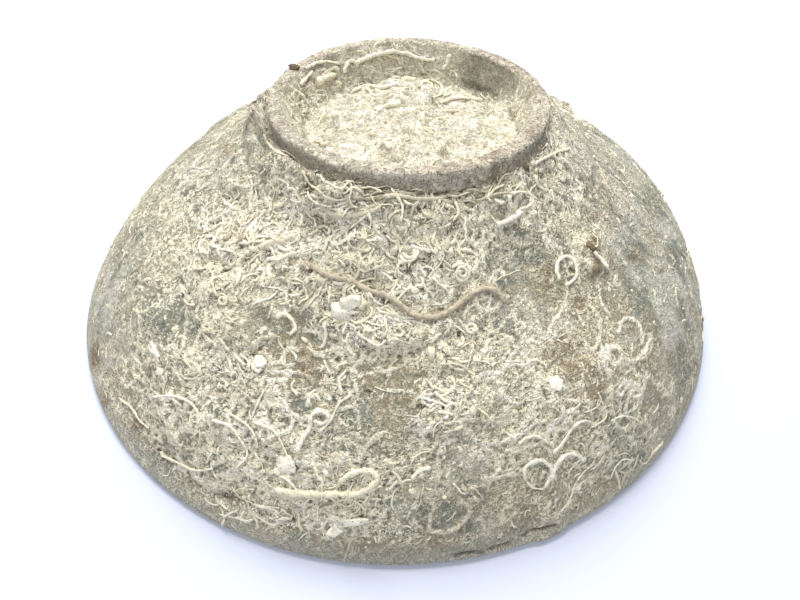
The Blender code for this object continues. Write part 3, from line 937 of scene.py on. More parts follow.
class Surface:
    """Rows of places on the skin, with their facings, paint values and faces."""

    def __init__(self, rows):
        self.places = [places for places, _, _ in rows]
        self.facings = [facing for _, facing, _ in rows]
        self.paint = {key: [paint[key] for _, _, paint in rows] for key in PAINTS}
        self.numbers = []
        count = 0
        for places in self.places:
            self.numbers.append(range(count, count + len(places)))
            count += len(places)
        self.count = count
        self.faces = []

    def extend(self, places, like):
        """Single places after the rows, each painted as the given row's first place."""
        self.places.append(np.array(places))
        for rows in self.paint.values():
            rows.append(np.array([rows[number][0] for number in like]))

    def press(self, relief, rows):
        """Lifts the first rows by a relief, and takes over its paint values."""
        shape = (rows, len(self.places[0]))
        lifts = np.array(relief.height).reshape(shape)
        # Painted shade: darker where a place lies below its blurred surroundings, and in pierced holes
        hollow = ease((blurred(lifts, 8) - lifts - 0.10 * MM) / (0.17 * MM))
        hollow = np.maximum(hollow, np.array(relief.hole).reshape(shape))
        values = {"lime": relief.lime, "tint": relief.tint, "hollow": hollow}
        for row in range(rows):
            self.places[row] = self.places[row] + self.facings[row] * lifts[row][:, None]
        for key, value in values.items():
            self.paint[key][:rows] = list(np.array(value, dtype=float).reshape(shape))

    def build(self, name, material):
        """The mesh object."""
        paint = {key: np.concatenate(rows) for key, rows in self.paint.items()}
        return add_piece(name, np.concatenate(self.places), self.faces, material, paint)


def blurred(values, times):
    """Values of a grid, evened out with those around them."""
    for _ in range(times):
        wide = np.pad(values, 1, mode="edge")
        around = (wide[1:-1, 1:-1] * 2 + wide[:-2, 1:-1] + wide[2:, 1:-1]
                  + wide[1:-1, :-2] + wide[1:-1, 2:])
        values = around / 6
    return values


def shell_surface():
    """The bowl itself, as a fine closed surface."""
    rings = well_rings() + foot_rings() + outside_rings() + inside_rings()
    surface = Surface([ring_points(ring, np.arange(ring.sides) * 360.0 / ring.sides) for ring in rings])
    numbers = surface.numbers
    for first, second in zip(numbers, numbers[1:]):
        surface.faces += band(first, second)
    surface.faces += fan(numbers[0], surface.count, True)
    surface.faces += fan(numbers[-1], surface.count + 1, False)
    middle = surface.places[0].mean(axis=0)
    surface.extend([middle, warp(0.0, FLOOR_HEIGHT - BASE_WALL, 0.0)], (0, -1))
    return surface


def sheet_surface():
    """The fine sheet of crust, closed by a coarse one below it that lies inside the bowl's wall."""
    part = np.linspace(-1.0, 1.0, SHEET_COLUMNS + 1)
    azimuth = (SHEET_MIDDLE + SHEET_HALF * (0.75 * part + 0.25 * part**3)) % 360
    rows = []
    for share in np.linspace(SHEET_LOW, SHEET_HIGH, SHEET_ROWS + 1):
        place, along = bezier(CURVE, share)
        ring = Ring(place[0], place[1], along[1], -along[0], WALL, share, len(azimuth))
        rows.append(ring_points(ring, azimuth, True))
    below = []
    for places, facing, paint in rows[::SHEET_STEP]:
        lower = (places - facing * SHEET_THICK)[::SHEET_STEP]
        kept = {key: values[::SHEET_STEP] for key, values in paint.items()}
        below.append((lower, facing[::SHEET_STEP], kept))
    surface = Surface(rows + below)
    upper = surface.numbers[:len(rows)]
    lower = surface.numbers[len(rows):]
    for first, second in zip(upper, upper[1:]):
        surface.faces += zip(first, first[1:], second[1:], second)
    for first, second in zip(lower, lower[1:]):
        surface.faces += zip(first, second, second[1:], first[1:])
    surface.faces += side_faces(border(upper), border(lower))
    return surface


def border(rows):
    """The numbers round the border of a grid, against the clock as seen from outside."""
    right = [row[-1] for row in rows]
    left = [row[0] for row in rows]
    return list(rows[0][:-1]) + right[:-1] + list(rows[-1][:0:-1]) + left[:0:-1]


def side_faces(fine, coarse):
    """Triangles from a fine border to a coarse one below it."""
    faces = []
    for number, corner in enumerate(coarse):
        following = coarse[(number + 1) % len(coarse)]
        run = [fine[(number * SHEET_STEP + k) % len(fine)] for k in range(SHEET_STEP + 1)]
        half = SHEET_STEP // 2
        for k in range(SHEET_STEP):
            faces.append((run[k + 1], run[k], corner if k < half else following))
        faces.append((run[half], corner, following))
    return faces


class Relief:
    """Tubes, grains and holes pressed into rows of places on the skin."""

    def __init__(self, surface, rows):
        places = np.concatenate(surface.places[:rows])
        self.height = [0.0] * len(places)
        self.lime = [0.0] * len(places)
        self.tint = [0.0] * len(places)
        self.hole = [0.0] * len(places)
        self.tree = KDTree(len(places))
        for number, place in enumerate(places.tolist()):
            self.tree.insert(place, number)
        self.tree.balance()

    def press(self, places, radii, lift, tint, lime=1.0):
        """A tube or a grain, on top of what is there already."""
        bases = [self.height[self.tree.find(place)[1]] for place in places]
        for _ in range(3):
            padded = [bases[0]] + bases + [bases[-1]]
            bases = [(a + b + c) / 3 for a, b, c in zip(padded, padded[1:], padded[2:])]
        for place, radius, base in zip(places, radii, bases):
            for _, number, distance in self.tree.find_range(place, radius):
                top = 0.45 * base + lift + math.sqrt(max(0.0, radius * radius - distance * distance))
                if top > self.height[number]:
                    self.height[number] = top
                    self.lime[number] = lime
                    self.tint[number] = tint

    def pierce(self, places, radius, depth):
        """A hole, dented and painted dark as shade, drawn out over the given places."""
        reached = {}
        for place in places:
            for _, number, distance in self.tree.find_range(place, radius):
                reached[number] = max(reached.get(number, 0.0), 1.0 - (distance / radius) ** 2)
        for number, share in reached.items():
            self.height[number] -= depth * share
            # Marks the hole for painted shade
            self.hole[number] = max(self.hole[number], min(1.0, 0.35 + share))


class Skin:
    """The nodes of one procedural material."""

    def __init__(self, name):
        self.material = bpy.data.materials.new(name)
        self.material.use_nodes = True
        self.tree = self.material.node_tree
        self.shader = self.tree.nodes["Principled BSDF"]
        self.place = self.tree.nodes.new("ShaderNodeTexCoord").outputs["Object"]

    def wire(self, socket, value):
        """Links an output to a socket, or sets the socket's own value."""
        if isinstance(value, bpy.types.NodeSocket):
            self.tree.links.new(value, socket)
        else:
            socket.default_value = value

    def node(self, kind, output, inputs, **settings):
        """One output of a new node of some kind, with the inputs and settings given."""
        node = self.tree.nodes.new("ShaderNode" + kind)
        for name, value in settings.items():
            setattr(node, name, value)
        for name, value in inputs.items():
            self.wire(node.inputs[name], value)
        return node.outputs[output]

    def noise(self, size, detail=3.0, rough=0.6, bend=0.0):
        """Noise with features of about the given size, from 0 to 1."""
        inputs = {"Scale": 1.0 / size, "Detail": detail, "Roughness": rough, "Distortion": bend}
        return self.node("TexNoise", "Fac", {"Vector": self.place, **inputs})

    def painted(self, name):
        """A paint value of the mesh."""
        return self.node("Attribute", "Fac", {}, attribute_name=name)

    def math(self, kind, *values):
        """A Math node."""
        return self.node("Math", "Value", dict(enumerate(values)), operation=kind)

    def times(self, a, b):
        """The product of two values."""
        return self.math("MULTIPLY", a, b)

    def scaled(self, value, factor, plus):
        """A value times a factor, plus another value."""
        return self.math("MULTIPLY_ADD", value, factor, plus)

    def step(self, value, low, high, start=0.0, end=1.0):
        """Goes smoothly from start to end as value goes from low to high."""
        inputs = {"From Min": low, "From Max": high, "To Min": start, "To Max": end}
        return self.node("MapRange", "Result", {"Value": value, **inputs}, interpolation_type="SMOOTHSTEP")

    def mix(self, amount, base, tone):
        """A tone laid over a base in some amount."""
        return self.node("Mix", 2, {"Factor": amount, 6: base, 7: tone}, data_type="RGBA")

    def lay(self, base, tone, value, *ends):
        """A tone laid over a base by a step of a value."""
        return self.mix(self.step(value, *ends), base, tone)

    def lines(self, size, bend):
        """Thin wandering threads, 1 along their middles."""
        wave = self.noise(size, 2.0, 0.5, bend)
        return self.math("SUBTRACT", 1.0, self.math("ABSOLUTE", self.scaled(wave, 2.0, -1.0)))

    def bump(self, height, distance):
        """Bump from a height, in metres at height 1."""
        return self.node("Bump", "Normal", {"Distance": distance, "Height": height})

    def finish(self, colour, roughness, normal):
        """Wires the shader and gives the material."""
        self.wire(self.shader.inputs["Base Color"], colour)
        self.wire(self.shader.inputs["Roughness"], roughness)
        self.wire(self.shader.inputs["Normal"], normal)
        self.shader.inputs["Specular IOR Level"].default_value = 0.3
        return self.material


def colour(red, green, blue):
    """A colour given as a screen shows it, from 0 to 255."""
    parts = []
    for part in (red, green, blue):
        part /= 255.0
        parts.append(part / 12.92 if part <= 0.04045 else ((part + 0.055) / 1.055) ** 2.4)
    return (*parts, 1.0)


GLAZE_GREY = colour(119, 125, 113)
GLAZE_OLIVE = colour(153, 149, 129)
RIM_GREY = colour(178, 177, 166)
RIM_OLIVE = colour(200, 194, 175)
DIRT_TAN = colour(172, 158, 131)
DIRT_BROWN = colour(122, 105, 80)
PALE_FILM = colour(210, 203, 181)
HAZE = colour(213, 212, 200)
WELL_SHADE = colour(206, 198, 176)
CREAM = colour(244, 236, 209)
WHITE_LIME = colour(252, 247, 230)
# Small dark pits, and painted shade in gaps, cracks, hollows, holes and the open ends of tubes
DARK_PIT_AND_SHADE = colour(70, 62, 50)
RUST = colour(130, 106, 76)
CLAY_MAUVE = colour(174, 162, 146)
CLAY_PALE = colour(210, 200, 182)
# Painted shade in the furrows between the tubes
GAP_SHADE = colour(88, 79, 62)
TUBE_BROWN = colour(112, 98, 78)
TUBE_TAN = colour(190, 174, 150)

# Threads of lime on the glaze: size, bend and strength
THREADS = ((2.3 * MM, 1.6, 1.0), (1.3 * MM, 1.2, 0.9), (0.75 * MM, 0.8, 0.8))
# Tones of the tubes: where each starts and is full, as a tint
LIME_TONES = (
    (0.0, 0.25, TUBE_TAN),
    (0.25, 0.45, PALE_FILM),
    (0.45, 0.70, CREAM),
    (0.70, 1.0, WHITE_LIME),
)


def thread_layers(skin):
    """Wandering broken threads in three sizes, 1 along their middles."""
    total = 0.0
    for size, bend, strength in THREADS:
        broken = skin.step(skin.noise(size * 1.7, 2.0), 0.42, 0.56, 0.0, strength)
        layer = skin.times(skin.step(skin.lines(size, bend), 0.84, 0.95), broken)
        total = skin.math("MAXIMUM", total, layer)
    return total


def furrow_layers(skin):
    """Holes and wandering furrows between worms that have grown together, 1 where deepest; painted dark as
    shade, and dented by bump.
    """
    winding = skin.step(skin.lines(1.3 * MM, 1.5), 0.92, 0.985)
    broken = skin.step(skin.noise(2.2 * MM, 2.0), 0.42, 0.56, 0.0, 0.85)
    holes = skin.step(skin.noise(0.9 * MM, 3.0, 0.7, 0.5), 0.33, 0.40, 1.0, 0.0)
    depth = skin.math("MAXIMUM", skin.times(winding, broken), holes)
    return skin.times(depth, skin.step(skin.painted("crust"), 0.12, 0.5))


def lime_colour(skin):
    """Brown, tan, cream or white by the tint."""
    tint = skin.painted("tint")
    base = TUBE_BROWN
    for low, high, tone in LIME_TONES:
        base = skin.lay(base, tone, tint, low, high)
    return base


def glaze_colour(skin, middle):
    """Worn grey-green glaze under haze and brown and tan dirt."""
    grey = skin.painted("grey")
    dirt = skin.painted("dirt")
    large = skin.scaled(grey, -0.2, skin.noise(11 * MM, 4.0, 0.65))
    base = skin.lay(GLAZE_GREY, GLAZE_OLIVE, large, 0.42, 0.54)
    tan = skin.scaled(grey, -0.15, skin.scaled(dirt, 0.15, middle))
    base = skin.lay(base, DIRT_TAN, tan, 0.53, 0.64, 0.0, 0.8)
    brown = skin.scaled(dirt, 0.08, skin.noise(4.2 * MM, 5.0, 0.7, 0.3))
    base = skin.lay(base, DIRT_BROWN, skin.scaled(grey, -0.1, brown), 0.58, 0.68, 0.0, 0.65)
    soft = skin.step(skin.noise(0.6 * MM, 4.0, 0.7), 0.35, 0.6, 0.45, 0.9)
    base = skin.mix(skin.times(skin.painted("pale"), soft), base, HAZE)
    dark = skin.scaled(dirt, 0.02, skin.noise(1.7 * MM, 4.0, 0.75, 0.8))
    dark = skin.scaled(skin.painted("bare"), -0.06, dark)
    return skin.lay(base, DIRT_BROWN, dark, 0.52, 0.64, 0.0, 0.7)


def wall_colour(skin, thread, furrow, middle, small):
    """The glaze under threads, flecks and crusts of lime, with furrows painted dark as shade."""
    crust = skin.painted("crust")
    keep = skin.scaled(skin.painted("bare"), -0.88, 1.0)
    keep = skin.times(keep, skin.step(skin.noise(6 * MM), 0.34, 0.54, 0.35, 0.9))
    base = skin.mix(skin.times(thread, keep), glaze_colour(skin, middle), CREAM)
    cover = skin.scaled(crust, 0.13, small)
    base = skin.mix(skin.times(skin.step(cover, 0.56, 0.63), keep), base, CREAM)
    ground = skin.scaled(crust, 0.5, skin.noise(1.8 * MM, 4.0, 0.7))
    base = skin.lay(base, CREAM, ground, 0.58, 0.74)
    base = skin.lay(base, WHITE_LIME, ground, 0.84, 0.98)
    base = skin.mix(skin.times(skin.step(cover, 0.62, 0.70), keep), base, WHITE_LIME)
    base = skin.mix(skin.times(skin.painted("lime"), 0.92), base, lime_colour(skin))
    # Painted shade in the furrows and holes between the tubes
    return skin.mix(skin.times(furrow, 0.9), base, GAP_SHADE)


def well_colour(skin, middle):
    """Cream to white lime in the well, and bare glaze in places."""
    base = skin.lay(WELL_SHADE, CREAM, middle, 0.38, 0.52)
    base = skin.lay(base, WHITE_LIME, skin.noise(2.4 * MM), 0.42, 0.58)
    base = skin.mix(skin.times(skin.painted("lime"), 0.6), base, lime_colour(skin))
    return skin.mix(skin.times(skin.painted("bare"), 0.95), base, GLAZE_OLIVE)


def clay_colour(skin, middle, small):
    """Bare clay of the foot ring, with haze, streaks of glaze, soil and specks."""
    base = skin.lay(CLAY_MAUVE, CLAY_PALE, skin.noise(5 * MM, 4.0), 0.42, 0.58)
    base = skin.lay(base, CREAM, skin.noise(2.2 * MM, 5.0, 0.7), 0.50, 0.62, 0.0, 0.75)
    base = skin.mix(skin.painted("pale"), base, HAZE)
    streaked = skin.times(skin.painted("grey"), skin.step(middle, 0.38, 0.55, 0.0, 0.6))
    base = skin.mix(streaked, base, GLAZE_GREY)
    soiled = skin.times(skin.painted("dirt"), skin.step(small, 0.32, 0.58, 0.1, 0.55))
    base = skin.mix(soiled, base, DIRT_BROWN)
    base = skin.lay(base, CREAM, small, 0.54, 0.66, 0.0, 0.5)
    return skin.lay(base, DIRT_BROWN, skin.noise(0.6 * MM, 3.0, 0.7), 0.55, 0.63, 0.0, 0.8)


def shell_material():
    """Worn glaze, dirt film, lime threads, grit and stains, the bare clay of the foot, and painted shade
    in gaps, cracks and hollows.
    """
    skin = Skin("crusted_glaze")
    bare = skin.painted("bare")
    well = skin.painted("well")
    rim = skin.painted("rim")
    middle = skin.noise(3.6 * MM, 5.0, 0.7, 0.5)
    small = skin.noise(0.9 * MM, 3.0, 0.7)
    tiny = skin.noise(0.30 * MM, 2.0)
    thread = thread_layers(skin)
    furrow = furrow_layers(skin)
    base = wall_colour(skin, thread, furrow, middle, small)
    base = skin.mix(well, base, well_colour(skin, middle))
    base = skin.mix(skin.times(rim, 0.7), base, skin.lay(RIM_OLIVE, RIM_GREY, middle, 0.4, 0.6))
    base = skin.mix(skin.painted("clay"), base, clay_colour(skin, middle, small))
    stain = skin.times(skin.painted("stain"), skin.step(small, 0.30, 0.60))
    base = skin.mix(stain, base, RUST)

    coarse = skin.times(skin.scaled(bare, -0.7, 1.0), skin.scaled(well, -0.8, 1.0))
    flecks = skin.step(tiny, 0.58, 0.70, 0.0, 0.5)
    base = skin.mix(skin.times(flecks, coarse), base, PALE_FILM)
    # Small dark pits, and painted shade in the gap at the foot ring, in cracks, hollows and holes
    pits = skin.step(skin.noise(0.5 * MM, 2.0), 0.30, 0.36, 0.9, 0.0)
    gap = skin.times(skin.painted("gap"), 0.7)
    hollow = skin.times(skin.painted("hollow"), skin.scaled(well, -0.60, 0.90))
    for amount in (skin.times(pits, coarse), gap, hollow):
        base = skin.mix(amount, base, DARK_PIT_AND_SHADE)

    height = skin.scaled(thread, 0.8, small)
    height = skin.scaled(furrow, -1.2, height)
    height = skin.scaled(tiny, 0.5, height)
    rough = skin.step(skin.math("ADD", bare, rim), 0.2, 1.0, 0.9, 0.65)
    return skin.finish(base, rough, skin.bump(height, 0.6 * MM))


def lime_material(name):
    """Lime tubes and lumps: brown, tan, cream or white by their tint, with patches of dirt, and painted
    shade on their undersides and inside open ends.
    """
    skin = Skin(name)
    patches = skin.noise(0.8 * MM, 4.0, 0.75)
    base = lime_colour(skin)
    base = skin.lay(base, DIRT_TAN, skin.noise(3.6 * MM, 5.0, 0.7, 0.5), 0.54, 0.68, 0.0, 0.4)
    base = skin.lay(base, DIRT_TAN, patches, 0.56, 0.66, 0.0, 0.35)
    base = skin.lay(base, DIRT_BROWN, patches, 0.66, 0.76, 0.0, 0.6)
    # Painted shade, darker on the undersides, broken up by the dirt patches
    low = skin.scaled(patches, 0.5, skin.painted("low"))
    base = skin.lay(base, TUBE_BROWN, low, 0.55, 1.05, 0.0, 0.85)
    base = skin.lay(base, TUBE_BROWN, skin.noise(0.45 * MM, 2.0), 0.30, 0.38, 0.75, 0.0)
    # Painted shade inside the open ends of the tubes
    base = skin.mix(skin.painted("mouth_shade"), base, DARK_PIT_AND_SHADE)
    return skin.finish(base, 0.9, skin.bump(skin.noise(0.35 * MM, 4.0, 0.7), 0.35 * MM))


# How alike neighbouring tubes lie and look, and how far above the rim they keep
FLOW_SIZE = 8 * MM
FLOW_SPREAD = 0.35
FLOW_OFFSETS = ((9.3, 0.0, 0.0), (0.0, 7.1, 0.0), (0.0, 0.0, 5.7))
TINT_SIZE = 6 * MM
RIM_CLEAR = 3.5 * MM

# Steps along pressed tubes, and in pixels along the single ones
PRESS_STEP = 0.2 * MM
PIXEL_STEP = 1.8

# How many are tried, of which those on bare skin are left out, and the seeds of their growth
MAT_TUBES = 21000
SHORT_TUBES = 1300
LONG_TUBES = 120
LOOSE_CRUMBS = 3600
MAT_CLUMPS = 1200
SKIRT_TUBES = 200
COARSE_TUBES = 40
WELL_PIECES = 400
SHELL_SEED = 7
GROWTH_SEED = 8

# What is pressed into the skin, in turn: where, how many, radii and lengths in millimetres, lift
# as a share of the radius, wander and tints. Without lengths they are grains.
Kind = namedtuple("Kind", "where count radii lengths lift wander tints")
WALL_RELIEF = (
    Kind("mats", 2000, (0.5, 1.3), None, -0.72, 0, (0.65, 1.0)),
    Kind("mats", 2200, (0.28, 0.36, 0.48), (3.0, 9.0), -0.35, 0.12, (0.6, 1.0)),
    Kind("mats", 1200, (0.22, 0.26), (2.0, 6.0), 0.0, 0.14, (0.65, 1.0)),
    Kind("webs", 300, (0.35, 0.45, 0.6), (5.0, 16.0), -0.55, 0.10, (0.6, 1.0)),
    Kind("open", 1300, (0.22, 0.28, 0.34), (2.0, 9.0), -0.5, 0.16, (0.45, 1.0)),
    Kind("open and mats", 1800, (0.2, 0.45), None, -0.45, 0, (0.5, 1.0)),
)
WELL_RELIEF = (
    Kind("well", 420, (0.8, 2.4), None, -0.75, 0, (0.6, 1.0)),
    Kind("well", 240, (0.45, 0.6, 0.8), (3.0, 9.0), -0.5, 0.12, (0.6, 1.0)),
    Kind("well", 120, (0.26, 0.32), (2.0, 6.0), -0.4, 0.13, (0.7, 1.0)),
)

# Holes painted dark as shade: how many, and the least and most radius in millimetres
MAT_HOLES = ((2600, (0.16, 0.30)), (600, (0.26, 0.48)))
WELL_HOLES = ((40, (0.15, 0.30)),)

Tube = namedtuple("Tube", "places normals radii tint open")


def swell(radius, count, draw):
    """Radii along a tube: uneven, and a little thinner at its ends."""
    radii = []
    for step in range(count):
        end = min(step, count - 1 - step)
        radii.append(radius * (0.7 if end == 0 else 1.0) * draw.uniform(0.75, 1.2))
    return radii


def curve_through(points, spacing):
    """Points at about the given spacing on a smooth curve through chosen ones."""
    points = [Vector(p) for p in points]
    padded = [2 * points[0] - points[1]] + points + [2 * points[-1] - points[-2]]
    result = []
    for a, b, c, d in zip(padded, padded[1:], padded[2:], padded[3:]):
        steps = max(1, round((c - b).length / spacing))
        for step in range(steps):
            t = step / steps
            place = 2 * b + (c - a) * t + (2 * a - 5 * b + 4 * c - d) * t * t
            result.append(0.5 * (place + (3 * b - a - 3 * c + d) * t**3))
    return result + [points[-1]]


def flow_at(place):
    """The way in which the tubes near a place lie."""
    return Vector([noise.noise(place / FLOW_SIZE + Vector(offset)) for offset in FLOW_OFFSETS])


def any_direction(draw):
    """A random direction."""
    return Vector((draw.gauss(0, 1), draw.gauss(0, 1), draw.gauss(0, 1))).normalized()


class Garden:
    """Grows tubes and lumps over the skin."""

    def __init__(self, surfaces, seed):
        points = []
        faces = []
        for surface in surfaces:
            faces += [[len(points) + number for number in face] for face in surface.faces]
            points += np.concatenate(surface.places).tolist()
        mesh = bpy.data.meshes.new("skin")
        mesh.from_pydata(points, [], faces)
        self.tree = BVHTree.FromPolygons(points, faces)
        self.draw = random.Random(seed)
        self.pick = np.random.RandomState(seed)
        self.centres = np.array([p.center for p in mesh.polygons])
        self.normals = np.array([p.normal for p in mesh.polygons])
        self.areas = np.array([p.area for p in mesh.polygons])
        self.reach = np.hypot(self.centres[:, 0] - FOOT_SHIFT, self.centres[:, 1])
        bpy.data.meshes.remove(mesh)

    def scatter(self, count, where):
        """Random places, evenly over a part of the skin, with the normals there."""
        chance = self.areas * where
        chosen = self.pick.choice(len(chance), count, p=chance / chance.sum())
        return self.centres[chosen], self.normals[chosen]

    def wall(self):
        """Which faces lie on the outside of the wall, clear of the rim."""
        upward = (self.normals[:, 2] > 0.12) & (self.centres[:, 2] > RIM_CLEAR)
        return upward & (self.reach > FOOT_RADIUS + 0.3 * MM)

    def well(self):
        """Which faces lie in the well."""
        return (self.reach < INNER_LIP_RADIUS - 0.8 * MM) & (self.centres[:, 2] > FLOOR_HEIGHT - 2 * MM)

    def walk(self, start, radius, length, steps, curl, wander, lift=0.0, rise=0.0):
        """A wandering tube from a start on the skin; curl is its steady turn per step."""
        draw = self.draw
        spot, normal, _, _ = self.tree.find_nearest(start)
        flow = flow_at(spot) * draw.choice((-1, 1)) + any_direction(draw) * FLOW_SPREAD
        heading = (flow - normal * flow.dot(normal)).normalized()
        stride = length / steps
        places = []
        normals = []
        for step in range(steps + 1):
            places.append(spot + normal * (lift + rise * (step / steps - 0.5)))
            normals.append(normal)
            turn = curl + draw.gauss(0, wander)
            heading = Matrix.Rotation(turn, 3, normal) @ heading
            spot, normal, _, _ = self.tree.find_nearest(spot + heading * stride)
            heading = (heading - normal * heading.dot(normal)).normalized()
        tint = 0.35 + 0.65 * draw.random() ** 0.6
        return Tube(places, normals, swell(radius, steps + 1, draw), tint, radius > 0.33 * MM)

    def look(self, x, y):
        """Where the camera's view through a pixel meets the skin, and the normal there."""
        spot, normal, _, _ = self.tree.ray_cast(CAMERA_PLACE, view_ray(x, y))
        return spot, normal

    def settle(self, hits, radius, lift, tint, taper):
        """A tube over places on the skin, evened out so that it bridges small dents."""
        places = [spot + normal * lift for spot, normal in hits]
        for _ in range(3):
            inner = [(a + b + c) / 3 for a, b, c in zip(places, places[1:], places[2:])]
            places = [places[0]] + inner + [places[-1]]
        radii = swell(radius, len(places), self.draw)
        radii = [r * (1 - taper * k / len(radii)) for k, r in enumerate(radii)]
        return Tube(places, [normal for _, normal in hits], radii, tint, True)

    def drawn(self, line):
        """A tube through chosen pixels."""
        hits = [self.look(x, y) for x, y in curve_through(line.points, PIXEL_STEP)]
        lift = (line.lift - 0.5 * line.radius) * MM
        return self.settle(hits, 0.9 * line.radius * MM, lift, line.tint, taper=0.2)

    def coil(self, coil):
        """A spiral tube about a chosen pixel."""
        middle, normal = self.look(coil.x, coil.y)
        along = normal.cross(any_direction(self.draw)).normalized()
        across = normal.cross(along)
        hits = []
        count = round(14 * coil.turns)
        for step in range(count + 1):
            angle = 2 * math.pi * coil.turns * step / count
            reach = (coil.inner + (coil.outer - coil.inner) * step / count) * MM
            place = middle + (along * math.cos(angle) + across * math.sin(angle)) * reach
            hits.append(self.tree.find_nearest(place)[:2])
        return self.settle(hits, coil.radius * MM, coil.radius * 0.8 * MM, coil.tint, taper=0.0)


def ball(level):
    """The corners and faces of a round lump."""
    mesh = bmesh.new()
    bmesh.ops.create_icosphere(mesh, subdivisions=level, radius=1.0)
    corners = [v.co.copy() for v in mesh.verts]
    faces = [tuple(v.index for v in f.verts) for f in mesh.faces]
    mesh.free()
    return corners, faces


CRUMB = ball(1)
CLUMP = ball(2)
LUMP = ball(3)


class Heap:
    """Gathers tubes and lumps into one mesh."""

    def __init__(self):
        self.points = []
        self.faces = []
        # The low value is painted shade on the undersides, the last one painted shade inside open ends
        self.paint = {"tint": [], "low": [], "mouth_shade": []}

    def note(self, tint, low, mouth_shade):
        """The paint values of the next point."""
        for key, value in zip(("tint", "low", "mouth_shade"), (tint, low, mouth_shade)):
            self.paint[key].append(value)

    def add_tube(self, tube, sides):
        """A round tube, hollow at its far end if it is open, with painted shade inside that end and on its
        underside.
        """
        rings = []
        count = len(tube.places)
        for step in range(count):
            along = (tube.places[min(count - 1, step + 1)] - tube.places[max(0, step - 1)]).normalized()
            across = along.cross(tube.normals[step]).normalized()
            rings.append((tube.places[step], across.cross(along), across, tube.radii[step], 0.0))
        # Rings at the open end carry painted shade inside it
        if tube.open:
            place, up, across, radius, _ = rings[-1]
            rings.append((place, up, across, radius * 0.62, 0.6))
            rings.append((place - along * radius * 1.3, up, across, radius * 0.5, 1.0))
        start = len(self.points)
        for place, up, across, radius, mouth_shade in rings:
            for side in range(sides):
                angle = 2 * math.pi * (side + 0.5) / sides
                out = up * math.cos(angle) + across * math.sin(angle)
                worn = 1.0 + 0.55 * noise.noise((place + out * radius) * 1400)
                self.points.append(place + out * radius * worn)
                # Painted shade: the low value is 1 on the underside of the tube
                self.note(tube.tint, 0.5 - 0.5 * math.cos(angle) if mouth_shade == 0.0 else 0.5, mouth_shade)
        for ring in range(len(rings) - 1):
            first = start + ring * sides
            for side in range(sides):
                after = (side + 1) % sides
                near = (first + side, first + sides + side)
                self.faces.append((*near, first + sides + after, first + after))
        last = start + (len(rings) - 1) * sides
        self.faces.append(tuple(range(start, start + sides)))
        self.faces.append(tuple(range(last + sides - 1, last - 1, -1)))

    def add_lump(self, shape, place, normal, heading, sizes, tint):
        """A rough lump, half sunk in the skin."""
        corners, faces = shape
        across = normal.cross(heading).normalized()
        long, wide, thick = sizes
        start = len(self.points)
        for corner in corners:
            uneven = 1.0 + 0.6 * noise.noise(place * 700 + corner * 1.6)
            if shape is not CRUMB:
                uneven += 0.4 * noise.noise(place * 900 + corner * 4.0)
            offset = heading * corner.x * long + across * corner.y * wide + normal * corner.z * thick
            self.points.append(place + offset * uneven)
            # Painted shade on the lower half of the lump
            self.note(tint, 0.5 - 0.5 * corner.z, 0.0)
        self.faces += [tuple(start + i for i in face) for face in faces]

    def build(self, name, material):
        """The mesh object."""
        return add_piece(name, self.points, self.faces, material, self.paint)


def sector(place):
    """Which quarter of the bowl a place is in: front, right, back or left."""
    return int((math.degrees(math.atan2(place[1], place[0])) + 135) // 90) % 4


def on_sheet(points):
    """Which places the fine sheet covers."""
    azimuth = np.degrees(np.arctan2(points[:, 1], points[:, 0]))
    return np.abs(turned_from(azimuth, SHEET_MIDDLE)) < SHEET_HALF


def any_tint(place, draw, low, high):
    """A tube's tint, much like that of its neighbours."""
    tint = max(0.3, 0.76 + 0.5 * noise.noise(place / TINT_SIZE) + draw.gauss(0, 0.15))
    return min(high, max(low, tint))


def sown(garden, count):
    """Random places on the wall with their normals, and how thick the worms grow there."""
    places, normals = garden.scatter(count, garden.wall())
    for place, normal, thick in zip(places, normals, growth(places, normals)):
        yield Vector(place), Vector(normal), thick


def press_sown(relief, garden, table, chances):
    """Presses the tubes and grains of a table into the skin."""
    draw = garden.draw
    for kind in table:
        for place in garden.scatter(kind.count, chances[kind.where])[0]:
            place = Vector(place)
            if kind.lengths:
                radius = draw.choice(kind.radii) * MM
                length = draw.uniform(*kind.lengths) * MM
                steps = max(3, round(length / PRESS_STEP))
                curl = draw.gauss(0, kind.wander * 0.6)
                tube = garden.walk(place, radius, length, steps, curl, kind.wander)
            else:
                radius = draw.uniform(*kind.radii) * MM
                tube = Tube([place], None, [radius], None, False)
            tint = any_tint(place, draw, *kind.tints)
            relief.press(tube.places, tube.radii, kind.lift * radius, tint)


def press_lines(relief, garden):
    """Low banks of lime along the single tubes, which join them to the skin."""
    for line in LINES:
        places = [garden.look(x, y)[0] for x, y in curve_through(line.points, PIXEL_STEP)]
        radii = swell(1.7 * line.radius * MM, len(places), garden.draw)
        relief.press(places, radii, -1.15 * line.radius * MM, line.tint)


def press_holes(relief, garden, where, table):
    """Holes painted dark as shade, a little drawn out along the flow of the tubes."""
    draw = garden.draw
    for count, radii in table:
        for place in garden.scatter(count, where)[0]:
            length = draw.choice((0.0, 0.4, 1.2)) * MM
            tube = garden.walk(Vector(place), 0.0, length, steps=3, curl=0.0, wander=0.3)
            relief.pierce(tube.places, draw.uniform(*radii) * MM, draw.uniform(0.2, 0.5) * MM)


